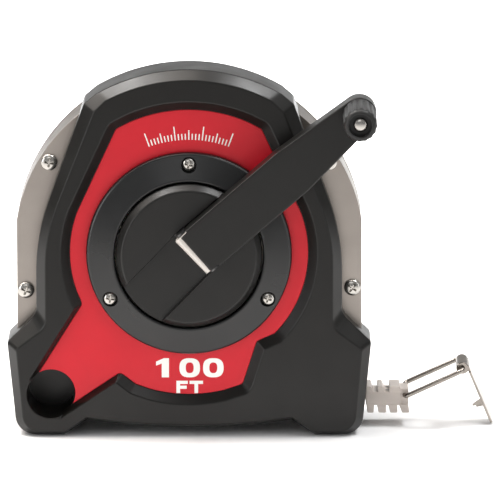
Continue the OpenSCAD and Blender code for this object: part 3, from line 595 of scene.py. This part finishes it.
def build_panels():
    bore = rod_cutter(None, COVER_BODY_R + GAP, PANEL_D - 3, PANEL_D + 1)
    well = rod_cutter(WELL, WELL_R + 0.12, PANEL_D - 3, PANEL_D + 1, 0.2, PANEL_D)
    panel = prism(panel_outline(-0.15), PANEL_D - PANEL_T + 0.02, PANEL_D, 0, 0.35, 3)
    piece("panel_front", combine(panel, [bore, well]), PAINT["red"], "case", ["front_panel"])

    disc = turned([(0, FACE_D - 2.58), (REAR_PANEL_R, FACE_D - 2.58)]
                  + bezier((REAR_PANEL_R, REAR_PANEL_D - 0.4), (REAR_PANEL_R, REAR_PANEL_D),
                           (REAR_PANEL_R - 0.4, REAR_PANEL_D), 3) + [(0, REAR_PANEL_D)], None, 128)
    holes = [rod_cutter(around(COVER_SCREW_R, a), SHANK_HOLE_R, FACE_D - 3, FACE_D)
             for a in COVER_SCREW_ANGLES]
    piece("panel_rear", copied(combine(disc, holes), MIRROR_Y), PAINT["red"], "case",
          ["rear_panel"])


# ---- print on the panel: a plain capacity and plain scale lines ------------------------------------

PRINT_T = 0.06


def oval(cx, cz, half_w, half_h, power=2.6, steps=48):
    """A rounded oval, fuller than an ellipse."""
    out = []
    for i in range(steps):
        a = 2 * math.pi * i / steps
        c, s = math.cos(a), math.sin(a)
        out.append((cx + half_w * math.copysign(abs(c) ** (2 / power), c),
                    cz + half_h * math.copysign(abs(s) ** (2 / power), s)))
    return out


def print_shape(outline, hole=None):
    solid = prism(outline, PANEL_D - 0.2, PANEL_D + PRINT_T)
    if hole:
        solid = combine(solid, [prism(hole, PANEL_D - 1, PANEL_D + 1)])
    return solid


def build_print():
    number_z, unit_z = 31.8, 22.8
    h, half_w = 4.5, 4.7
    parts = [print_shape([(-12.6, number_z - h), (-9.3, number_z - h), (-9.3, number_z + h),
                          (-11.6, number_z + h), (-15.2, number_z + 2.9), (-15.2, number_z + 1.0),
                          (-12.6, number_z + 2.0)])]
    for x in (0.2, 11.0):
        parts.append(print_shape(oval(x, number_z, half_w, h), oval(x, number_z, half_w - 2.9, h - 2.0)))
    h, bar = 2.9, 1.7
    left, right = -5.9, -0.7
    parts.append(print_shape([(left, unit_z - h), (left + bar, unit_z - h), (left + bar, unit_z - 0.9),
                              (right - 0.5, unit_z - 0.9), (right - 0.5, unit_z + 0.6),
                              (left + bar, unit_z + 0.6), (left + bar, unit_z + h - 1.5),
                              (right, unit_z + h - 1.5), (right, unit_z + h), (left, unit_z + h)]))
    left, right = 0.1, 6.3
    mid = (left + right) / 2
    parts.append(print_shape([(mid - bar / 2, unit_z - h), (mid + bar / 2, unit_z - h),
                              (mid + bar / 2, unit_z + h - 1.5), (right, unit_z + h - 1.5),
                              (right, unit_z + h), (left, unit_z + h), (left, unit_z + h - 1.5),
                              (mid - bar / 2, unit_z + h - 1.5)]))
    piece("panel_capacity", joined(parts), PAINT["white"], "case")

    ticks = []
    inner_r, steps, spread = 52.4, 24, 40.0
    for i in range(steps + 1):
        length = 6.4 if i % 8 == 0 else 4.4 if i % 4 == 0 else 2.8
        angle = 90 + spread / 2 - spread * i / steps
        turn = Matrix.Rotation(math.radians(angle), 2)
        centre = Vector((0, HUB_Z))
        line = [(inner_r, -0.27), (inner_r + length, -0.27), (inner_r + length, 0.27), (inner_r, 0.27)]
        ticks.append(print_shape([tuple(centre + turn @ Vector(p)) for p in line]))
    piece("panel_scale", joined(ticks), PAINT["white"], "case")


# ---- steel housing ---------------------------------------------------------------------------------


def side_plate(bore_r):
    """A side plate of the housing, with its bore and the holes for the screws."""
    holes = [rod_cutter(None, bore_r, PLATE_D - 3, PLATE_D + 1)]
    holes += [rod_cutter(p, 1.7, PLATE_D - 3, PLATE_D + 1) for p in POST_PLACES]
    return combine(prism(housing_outline(), PLATE_D - PLATE_T, PLATE_D, 0.1, 0.35, 3), holes)


def build_housing():
    gear_bore_r, axle_bore_r = 20, 4.05
    piece("plate_front", side_plate(gear_bore_r), PAINT["nickel"], "case", ["front_plate"])
    piece("plate_rear", copied(side_plate(axle_bore_r), MIRROR_Y), PAINT["nickel"], "case",
          ["rear_plate"])

    outer, inner = housing_outline(-0.2), housing_outline(-PLATE_T)
    half = PLATE_D - PLATE_T - 0.05
    edges = ((outer, -half), (outer, half), (inner, half), (inner, -half))
    band = loft([ring_at(outline, d) for outline, d in edges], True)
    mouth = box(MOUTH_X - 8, MOUTH_X + 6, -MOUTH_HALF_W, MOUTH_HALF_W, MOUTH_Z - MOUTH_BELOW,
                MOUTH_Z + MOUTH_ABOVE, 0.4)
    piece("housing_band", combine(band, [mouth]), PAINT["edge_nickel"], "case", ["rim_band"])


# ---- fasteners -------------------------------------------------------------------------------------


def pan_screw(place, head_r, seat_d, head_t, shank_r, tip_d, spin):
    """A pan-head screw with a domed head and a tapered cross recess."""
    dome = [(head_r * math.cos(a), seat_d + head_t * (0.32 + 0.68 * math.sin(a)))
            for a in (math.pi / 2 * i / 8 for i in range(8))]
    head = turned([(0, tip_d), (shank_r, tip_d), (shank_r, seat_d), (head_r * 0.94, seat_d),
                   (head_r, seat_d + head_t * 0.12)] + dome + [(0, seat_d + head_t)], place, 48)
    wings = []
    for turn in (0, 90):
        top, low = head_r * 0.62, head_r * 0.3
        slot = loft([[Vector((s * w, -d, t * v)) for s, t in ((-1, -1), (1, -1), (1, 1), (-1, 1))]
                     for w, v, d in ((low, head_r * 0.07, seat_d + head_t * 0.25),
                                     (top * 1.1, head_r * 0.15, seat_d + head_t + 0.3))])
        about = (Matrix.Translation((place[0], 0, place[1]))
                 @ Matrix.Rotation(math.radians(turn + spin), 4, "Y"))
        wings.append(copied(slot, about))
        slot.free()
    return combine(head, wings)


def screws(places, *sizes, behind=False):
    """A screw at each place, its recess turned by chance, and mirrored to the back if it is behind."""
    made = [pan_screw(p, *sizes, random.uniform(0, 90)) for p in places]
    return [copied(screw, MIRROR_Y) for screw in made] if behind else made


def build_screws():
    random.seed(4)
    in_post, in_shell = PLATE_D - 5, PLATE_D - 2.4
    heads = screws(POST_PLACES, 3.8, PLATE_D, 2.2, SHANK_R, in_post)
    heads += screws(POST_PLACES, 3.8, PLATE_D, 2.2, SHANK_R, in_post, behind=True)
    piece("frame_screw_set", joined(heads), PAINT["screw"], "case", ["frame_screws"])

    places = [around(COVER_SCREW_R, a) for a in COVER_SCREW_ANGLES]
    heads = screws(places, 3.2, COVER_SEAT_D, 2.3, SHANK_R, in_shell)
    heads += screws(places, 3, REAR_PANEL_D, 1.2, 1.4, FACE_D - 5.6, behind=True)
    piece("cover_screw_set", joined(heads), PAINT["screw"], "case", ["cover_screws"])

    places = [around(SHELL_SCREW_R, a) for a in FRONT_SCREW_ANGLES]
    heads = screws(places, 3, FRONT_SEAT_D, 2, SHANK_R, in_shell)
    places = [around(SHELL_SCREW_R, a) for a in REAR_SCREW_ANGLES]
    heads += screws(places, 3.2, REAR_SEAT_D, 2.2, SHANK_R, in_shell, behind=True)
    places = [(s * FOOT_SCREW[0], FOOT_SCREW[1]) for s in (-1, 1)]
    heads += screws(places, 2.5, FOOT_SEAT_D, 2, SHANK_R, -11, behind=True)
    piece("shell_screw_set", joined(heads), PAINT["dark_screw"], "case", ["shell_screws"])


# ---- gear cover and crank hub ----------------------------------------------------------------------


def build_cover():
    crown = bezier((COVER_R, 26.4), (COVER_R - 0.1, 28.0), (44.6, 28.4), 8)
    crown += bezier((35.4, COVER_TOP_D - 0.2), (34.2, COVER_TOP_D + 0.05),
                    (COVER_BORE_R, COVER_TOP_D - 0.9), 6)
    profile = ([(RING_SEAT_R, PLATE_D + 0.06), (COVER_BODY_R, PLATE_D + 0.06), (COVER_BODY_R, PANEL_D + 0.06),
                (COVER_R - 0.3, PANEL_D + 0.06), (COVER_R, PANEL_D + 0.3)] + crown
               + [(COVER_BORE_R, 22.0), (RING_SEAT_R, 22.0)])
    cover = turned(profile, None, 160)
    tools = []
    for a in COVER_SCREW_ANGLES:
        place = around(COVER_SCREW_R, a)
        tools += [rod_cutter(place, SHANK_HOLE_R, PLATE_D - 1, FACE_D),
                  rod_cutter(place, 3.55, COVER_SEAT_D, COVER_TOP_D + 1)]
    piece("ring_cover", combine(cover, tools), PAINT["cover"], "case", ["gear_cover"])


def skewed(angle):
    """Turns what is drawn along the disc's channel clockwise about the middle of the hinge pin."""
    pin = Matrix.Translation((HINGE_X, 0, 0))
    return pin @ Matrix.Rotation(math.radians(angle), 4, "Y") @ pin.inverted()


ON_CRANK = Matrix.Translation((0, 0, HUB_Z)) @ Matrix.Rotation(-math.radians(CRANK_ANGLE), 4, "Y")
ON_ARM = ON_CRANK @ skewed(ARM_SKEW)


def build_hub():
    profile = [(0, 27.25), (DISC_R, 27.25)]
    profile += bezier((DISC_R, 30.6), (DISC_R, 31.4), (DISC_R - 0.6, 32.2), 4)
    profile += bezier((DISC_FACE_R + 0.5, DISC_FACE_D - 0.7), (DISC_FACE_R, DISC_FACE_D),
                      (DISC_FACE_R - 0.8, DISC_FACE_D), 4)
    profile += [(0, DISC_FACE_D)]
    disc = turned(profile, (0.0, 0.0), 160)
    lip = 0.35
    walls = [(-CHANNEL_W, CHANNEL_D), (CHANNEL_W, CHANNEL_D), (CHANNEL_W, DISC_FACE_D - lip),
             (CHANNEL_W + lip, DISC_FACE_D + 0.03), (CHANNEL_W + lip, DISC_FACE_D + 2),
             (-CHANNEL_W - lip, DISC_FACE_D + 2), (-CHANNEL_W - lip, DISC_FACE_D + 0.03),
             (-CHANNEL_W, DISC_FACE_D - lip)]
    tools = []
    for start, end, skew in ((0, 42, ARM_SKEW), (-42, 8, -ARM_SKEW)):
        channel = loft([[Vector((x, -d, z)) for z, d in walls] for x in (start, end)])
        tools.append(transformed(channel, skewed(skew)))
    tools += [box(2, 24, CHANNEL_D - 1, CHANNEL_D + 0.5, -11.55, 11.55),
              rod_cutter((0.0, 0.0), 8.2, 26, 29.8)]
    tools += [rod_cutter((16.0, s * 6.0), 1.5, CHANNEL_D - 2.6, CHANNEL_D) for s in (-1, 1)]
    piece("hub_disc", combine(disc, tools), PAINT["crank"], "crank", ["crank_hub"],
          matrix=ON_CRANK)


# ---- arm and knob ----------------------------------------------------------------------------------


def at_pin(turn):
    """Lays what is turned about the depth axis along the hinge pin."""
    return Matrix.Translation((HINGE_X, -HINGE_D, 0)) @ Matrix.Rotation(turn, 4, "X")


def build_arm():
    root, ear_place, ear_slot, room_r, half = HINGE_X - 1.2, 11.4, 1.2, 4.95, 10.25
    tip = [(*p, 0) for p in arc(ARM_TIP_R, -84, 84, 24, (KNOB_X, 0.0))]
    outline = rounded([(root, -ARM_W, 1.2), (ARM_TAPER_X, -ARM_W, 30)] + tip
                      + [(ARM_TAPER_X, ARM_W, 30), (root, ARM_W, 1.2)])
    arm = prism(outline, ARM_BACK_D, ARM_FRONT_D, 0.6, 1.0, 5)
    tools = [box(root - 2, HINGE_X + EAR_R + 0.5, 20, 50, s * ear_place - ear_slot, s * ear_place + ear_slot)
             for s in (-1, 1)]
    barrel = turned([(0, -half), (room_r, -half), (room_r, half), (0, half)], (0.0, 0.0), 48)
    tools += [transformed(barrel, at_pin(math.pi / 2)),
              box(HINGE_X, HINGE_X + 20.1, HINGE_D - 1.05, HINGE_D + 1.05, -8.1, 8.1)]
    for tool in tools:
        transformed(tool, skewed(-ARM_SKEW))
    # the moulded hollow in the back of the arm, with a rib along it
    for side in (-1, 1):
        hollow = rounded([(30, 1.0, 1.5), (60, 1.0, 1.5), (92, 1.0, 1.5), (92, 6.2, 2), (62, 8.6, 4),
                          (30, 8.6, 2)])
        if side < 0:
            hollow = [(x, -z) for x, z in reversed(hollow)]
        tools += [prism(hollow, ARM_BACK_D - 1, ARM_BACK_D + 5)]
    tools += [rod_cutter((KNOB_X, 0.0), STUD_R + 0.02, ARM_BACK_D + 2, ARM_FRONT_D + 1)]
    piece("arm", combine(arm, tools), PAINT["crank"], "arm", ["crank_arm"], matrix=ON_ARM)


def build_strap():
    """The steel strap that the arm is moulded over, with its barrel round the hinge pin."""
    half, reach, bore_r = 10.2, 4.15, 1.56
    roll = rounded([(-reach, -reach, 2.2), (reach, -reach, 2.8), (reach, reach, 2.8), (-reach, reach, 2.8)])
    knuckle = prism(roll, -half, half, 0.3, 0.3, 3)
    bore = turned([(0, -half - 1), (bore_r, -half - 1), (bore_r, half + 1), (0, half + 1)], (0.0, 0.0), 48)
    knuckle = transformed(combine(knuckle, [bore]), at_pin(-math.pi / 2))
    tongue = box(HINGE_X + 3, HINGE_X + 20, HINGE_D - 1, HINGE_D + 1, -8, 8, 0.2)
    piece("strap", combine(knuckle, [tongue], "UNION"), PAINT["strap"], "arm", ["arm_strap"],
          matrix=ON_CRANK)


def fluted_ring(radius, d, depth, flutes=16, each=12):
    """A ring of points whose radius dips into round flutes."""
    out = []
    for k in range(flutes * each):
        phase = (k % each) / each * 2 - 1
        dip = max(0.0, 1 - (phase / 0.62) ** 2)
        r = radius - depth * dip
        a = 2 * math.pi * (k / each) / flutes
        out.append(Vector((KNOB_X + r * math.cos(a), -d, r * math.sin(a))))
    return out


def build_knob():
    low, top = ARM_FRONT_D + 0.25, KNOB_TIP_D
    side = [(6.5, low, 0.0), (7.1, low + 0.3, 0.0), (7.3, low + 1.0, 0.0), (KNOB_R, low + 2.6, 0.1),
            (KNOB_R, low + 3.8, 0.55), (KNOB_R, 50.0, 0.62), (KNOB_R, top - 6.5, 0.62),
            (KNOB_R, top - 3.6, 0.5), (KNOB_R - 0.05, top - 2.4, 0.3), (KNOB_R - 0.35, top - 1.3, 0.12),
            (KNOB_R - 1.0, top - 0.5, 0.0), (KNOB_R - 1.7, top - 0.1, 0.0), (5.6, top, 0.0),
            (5.2, top - 0.3, 0.0), (5.0, top - 3.2, 0.0), (2.1, top - 3.3, 0.0), (2.1, low, 0.0)]
    knob = loft([fluted_ring(r, d, dip) for r, d, dip in side], True)
    piece("knob", knob, PAINT["knob"], "knob", ["crank_knob"], 45.0, ON_ARM)

    dome = [(STUD_HEAD_R * math.cos(a), STUD_HEAD_D + 0.35 + 1.35 * math.sin(a))
            for a in (math.pi / 2 * i / 10 for i in range(10))]
    stud = turned([(0, ARM_BACK_D + 2), (STUD_R, ARM_BACK_D + 2), (STUD_R, STUD_HEAD_D),
                   (STUD_HEAD_R - 0.1, STUD_HEAD_D)] + dome + [(0, STUD_HEAD_D + 1.7)], (KNOB_X, 0.0), 48)
    piece("stud", stud, PAINT["screw"], "arm", ["knob_stud"], matrix=ON_ARM)


# ---- blade end -------------------------------------------------------------------------------------


def side_prism(outline, y0, y1, edge=0.3):
    """An outline in x and z made solid across the blade, with rounded edges."""
    return prism(outline, -y1, -y0, edge, edge, 3)


def rounded_box_outline(x0, x1, z0, z1, radius):
    return rounded([(x0, z0, radius), (x1, z0, radius), (x1, z1, radius), (x0, z1, radius)])


def fin_outline(x0, w, z0, z1, lean):
    tip = [(x0 + w - 1 + lean, z1, 0.6), (x0 + lean, z1, 0.6)]
    foot = [(x0, z0, 0.4), (x0 + w, z0, 0.4)]
    if z1 > z0:
        return rounded(foot + tip)
    return rounded([(x, z, r) for x, z, r in reversed(foot + tip)])


def build_bumper():
    core_low, core_high = 9.9, 16.4
    parts = [side_prism(rounded_box_outline(92.5, 101, core_low, core_high + 1.2, 1.0), -6, 6, 0.5)]
    for x0, w, lean in ((81.5, 3.4, -0.2), (86.8, 3.4, -0.4)):
        parts.append(side_prism(fin_outline(x0, w, core_high - 0.5, 18.8, lean), -7, 7))
    parts.append(side_prism(fin_outline(92, 5.8, core_high - 0.5, 18.9, 0), -7, 7))
    for x0, w, lean in ((81.4, 3.8, 0.6), (86.2, 4.4, 1.0), (91.4, 4.4, 1.1), (96.4, 4.4, 1.6)):
        parts.append(side_prism(fin_outline(x0, w, core_low + 0.5, 6.4, lean), -7, 7))
    core = side_prism(rounded_box_outline(81.2, 97.3, core_low, core_high, 0.8), -6.8, 6.8, 0.5)
    whole = combine(core, parts, "UNION")
    cuts = [box(80, BLADE_END_X, -BLADE_W / 2, BLADE_W / 2, MOUTH_Z - BLADE_T / 2, MOUTH_Z + BLADE_T / 2)]
    piece("bumper", combine(whole, cuts), PAINT["bumper"], "blade", ["end_bumper"], 40.0)

    rivets = []
    for s in (-1, 1):
        rivet = turned([(0, -3.6), (1.2, -3.6), (1.2, 3.6), (0, 3.6)], (0.0, 0.0), 32)
        upright = Matrix.Translation((91.5, s * 3.2, MOUTH_Z)) @ Matrix.Rotation(-math.pi / 2, 4, "X")
        rivets.append(transformed(rivet, upright))
    piece("rivet_pair", joined(rivets), PAINT["spring"], "blade", ["blade_rivets"])


def build_blade():
    half_w, top = BLADE_W / 2, MOUTH_Z + BLADE_T / 2
    strip = box(TONGUE_X, BLADE_END_X, -half_w, half_w, MOUTH_Z - BLADE_T / 2, top, 0.05, 1)
    piece("blade_strip", strip, PAINT["blade"], "blade", ["blade_end"])
    eighth = 25.4 / 8
    marks = []
    for k in range(1, 17):
        x = BLADE_END_X - 2.5 - k * eighth
        reach = 5.5 if k % 8 == 0 else 3.6 if k % 4 == 0 else 2.2
        for d0, d1 in ((half_w - reach, half_w - 0.05), (0.05 - half_w, reach * 0.6 - half_w)):
            marks.append(box(x - 0.12, x + 0.12, d0, d1, top - 0.02, top + 0.015))
    piece("blade_marks", joined(marks), PAINT["ink"], "blade")


AT_BAIL = (Matrix.Translation((BAIL_PIVOT[0], 0, BAIL_PIVOT[1]))
           @ Matrix.Rotation(math.radians(BAIL_ROLL), 4, "X")
           @ Matrix.Rotation(-math.radians(BAIL_ANGLE), 4, "Y"))


def build_bail():
    w, bend_r = BAIL_W / 2, 2.2

    def bend(cx, cy, start, end):
        return [Vector((cx + bend_r * math.cos(a), cy + bend_r * math.sin(a), 0)) for a in
                (math.radians(start + (end - start) * i / 8) for i in range(9))]

    path = [Vector((0, -2.6, 0))]
    path += bend(bend_r, -w + bend_r, 180, 270) + bend(BAIL_LEN - bend_r, -w + bend_r, 270, 360)
    path += bend(BAIL_LEN - bend_r, w - bend_r, 0, 90) + bend(bend_r, w - bend_r, 90, 180)
    path += [Vector((0, 2.6, 0))]
    piece("bail", tube(path, WIRE / 2, 20), PAINT["wire"], "bail", ["hook_bail"], 60.0, AT_BAIL)


def build_hook():
    knuckle_w, plate_len, sheet = 5.4, 30.5, 1.1
    at_hook = (AT_BAIL @ Matrix.Translation((BAIL_LEN, 0, 0))
               @ Matrix.Rotation(math.radians(BAIL_ANGLE + HOOK_ANGLE), 4, "Y"))
    hole = WIRE / 2 + 0.08
    barrel = turned([(hole, -knuckle_w), (2.6, -knuckle_w), (2.9, -knuckle_w + 0.3), (2.9, knuckle_w - 0.3),
                     (2.6, knuckle_w), (hole, knuckle_w)], (0.0, 0.0), 48)
    half = 6.2
    plate = rounded([(2.2, -half, 1.0), (plate_len, -half, 1.8), (plate_len, half, 1.8), (2.2, half, 1.0)])
    flat = prism(plate, -sheet / 2, sheet / 2, 0.2, 0.2, 2)
    lie = Matrix.Translation((0, 0, 2.0 + sheet / 2)) @ Matrix.Rotation(math.pi / 2, 4, "X")
    transformed(flat, lie)
    neck = box(0, 4, -knuckle_w, knuckle_w, 2.02, 3.08, 0.1, 1)
    claws = []
    for s in (-1, 1):
        x, y = 21.0 + s * 2.9, s * 5.8 - 0.4
        tooth = prism([(x - 1.4, 2.3), (x - 0.6, -0.9), (x + 0.1, -2.4), (x + 0.7, -2.2), (x + 1.4, 2.3)],
                      -y - 0.4, -y + 0.4, 0.12, 0.12, 2)
        claws.append(tooth)
    solid = combine(barrel, [neck, flat, *claws], "UNION")
    piece("hook", solid, PAINT["wire"], "hook", ["end_hook"], 35.0, at_hook)


# ---- parts that keep their CAD shape ----------------------------------------------------------------


def dress(nodes, material):
    for name in nodes:
        obj = frame["nodes"][name]
        obj.data.materials.clear()
        obj.data.materials.append(material)


def dress_cad():
    dress(["frame_posts", "drum_axle", "axle_nut", "crank_carrier", "planet_pins", "hub_screws"],
          PAINT["zinc"])
    dress(["hinge_bracket", "bracket_rivets", "hinge_pin"], PAINT["dark_screw"])
    dress(["axle_clip"], PAINT["spring"])
    dress(["ring_gear", "planet_gear_1", "planet_gear_2", "planet_gear_3"], PAINT["acetal"])
    dress(["sun_gear"], PAINT["brass"])
    dress(["drum_bushing"], PAINT["bronze"])
    dress(["drum_core", "mouth_guide"], PAINT["cover"])
    dress(["drum_front_flange", "drum_rear_flange"], PAINT["nickel"])
    dress(["tape_coil", "blade_lead"], PAINT["blade"])
    dress(["wiper_pads"], PAINT["felt"])


# ---- floor, lights and camera ------------------------------------------------------------------------


def aim(obj, place, target):
    obj.location = place
    obj.rotation_euler = (Vector(target) - Vector(place)).to_track_quat("-Z", "Y").to_euler()
    bpy.context.scene.collection.objects.link(obj)


def softbox(name, place, target, width, height, power, spread=180, tint=(1, 1, 1)):
    light = bpy.data.lights.new(name, "AREA")
    light.color = tint
    light.shape, light.size, light.size_y, light.energy = "RECTANGLE", width, height, power
    light.spread = math.radians(spread)
    aim(bpy.data.objects.new(name, light), place, target)


def build_stage():
    reach, back, bend = 9.0, 4.5, 1.0
    sweep = [(-reach, 0.0), (back - bend, 0.0)]
    sweep += [(back - bend + bend * math.sin(a), bend - bend * math.cos(a)) for a in
              (math.pi / 2 * i / 16 for i in range(1, 17))]
    sweep += [(back, reach)]
    bm = bmesh.new()
    rows = [[bm.verts.new((x, y, z)) for x in (-reach, reach)] for y, z in sweep]
    for low, high in zip(rows, rows[1:]):
        bm.faces.new((low[0], low[1], high[1], high[0])).smooth = True
    mesh = bpy.data.meshes.new("floor")
    bm.to_mesh(mesh)
    bm.free()
    floor = bpy.data.objects.new("floor", mesh)
    bpy.context.scene.collection.objects.link(floor)
    pale = surface("pale_floor", (0.93, 0.93, 0.93), 0.85, spread=0.004, grain=300, depth=0.0001, bump=0.02)
    mesh.materials.append(pale)

    world = bpy.data.worlds.new("studio")
    bpy.context.scene.world = world
    world.use_nodes = True
    world.node_tree.nodes["Background"].inputs["Color"].default_value = (1, 1, 1, 1)
    world.node_tree.nodes["Background"].inputs["Strength"].default_value = 0.3

    middle = (0, 0, 0.09)
    softbox("overhead", (-0.55, 0.08, 1.1), middle, 0.5, 1.3, 14, tint=(1.0, 0.93, 0.86))
    softbox("top_fill", (0.7, -0.5, 1.5), middle, 0.9, 0.9, 6)
    softbox("left_wall", (-1.5, -0.9, 0.5), middle, 0.4, 1.0, 8)
    softbox("right_wall", (1.5, -0.9, 0.5), middle, 0.4, 1.1, 4)
    softbox("front_fill", (-0.3, -2.2, 1.4), middle, 1.0, 0.7, 3.5)
    softbox("backdrop_left", (-1.6, 0.6, 3.2), (0, 1.9, 0), 1.6, 0.8, 45, 70)
    softbox("backdrop_right", (1.6, 0.6, 3.2), (0, 1.9, 0), 1.6, 0.8, 45, 70)


def build_camera():
    """The view of the reference: square on, a little from above, through a long lens."""
    elevation, distance, width = 12.0, 2.8, 0.230
    target = Vector((HUB.x + 27.8 * MM, HUB.y, 81.7 * MM))
    lift = math.radians(elevation)
    data = bpy.data.cameras.new("camera")
    data.sensor_width = 36.0
    data.lens = data.sensor_width * distance / width
    data.clip_end = 50
    camera = bpy.data.objects.new("camera", data)
    aim(camera, target + distance * Vector((0, -math.cos(lift), math.sin(lift))), target)
    bpy.context.scene.camera = camera
    bpy.context.scene.view_settings.view_transform = "Standard"


build_camera()
build_case()
build_panels()
build_print()
build_housing()
build_screws()
build_cover()
build_hub()
build_arm()
build_strap()
build_knob()
build_bumper()
build_blade()
build_bail()
build_hook()
dress_cad()
build_stage()
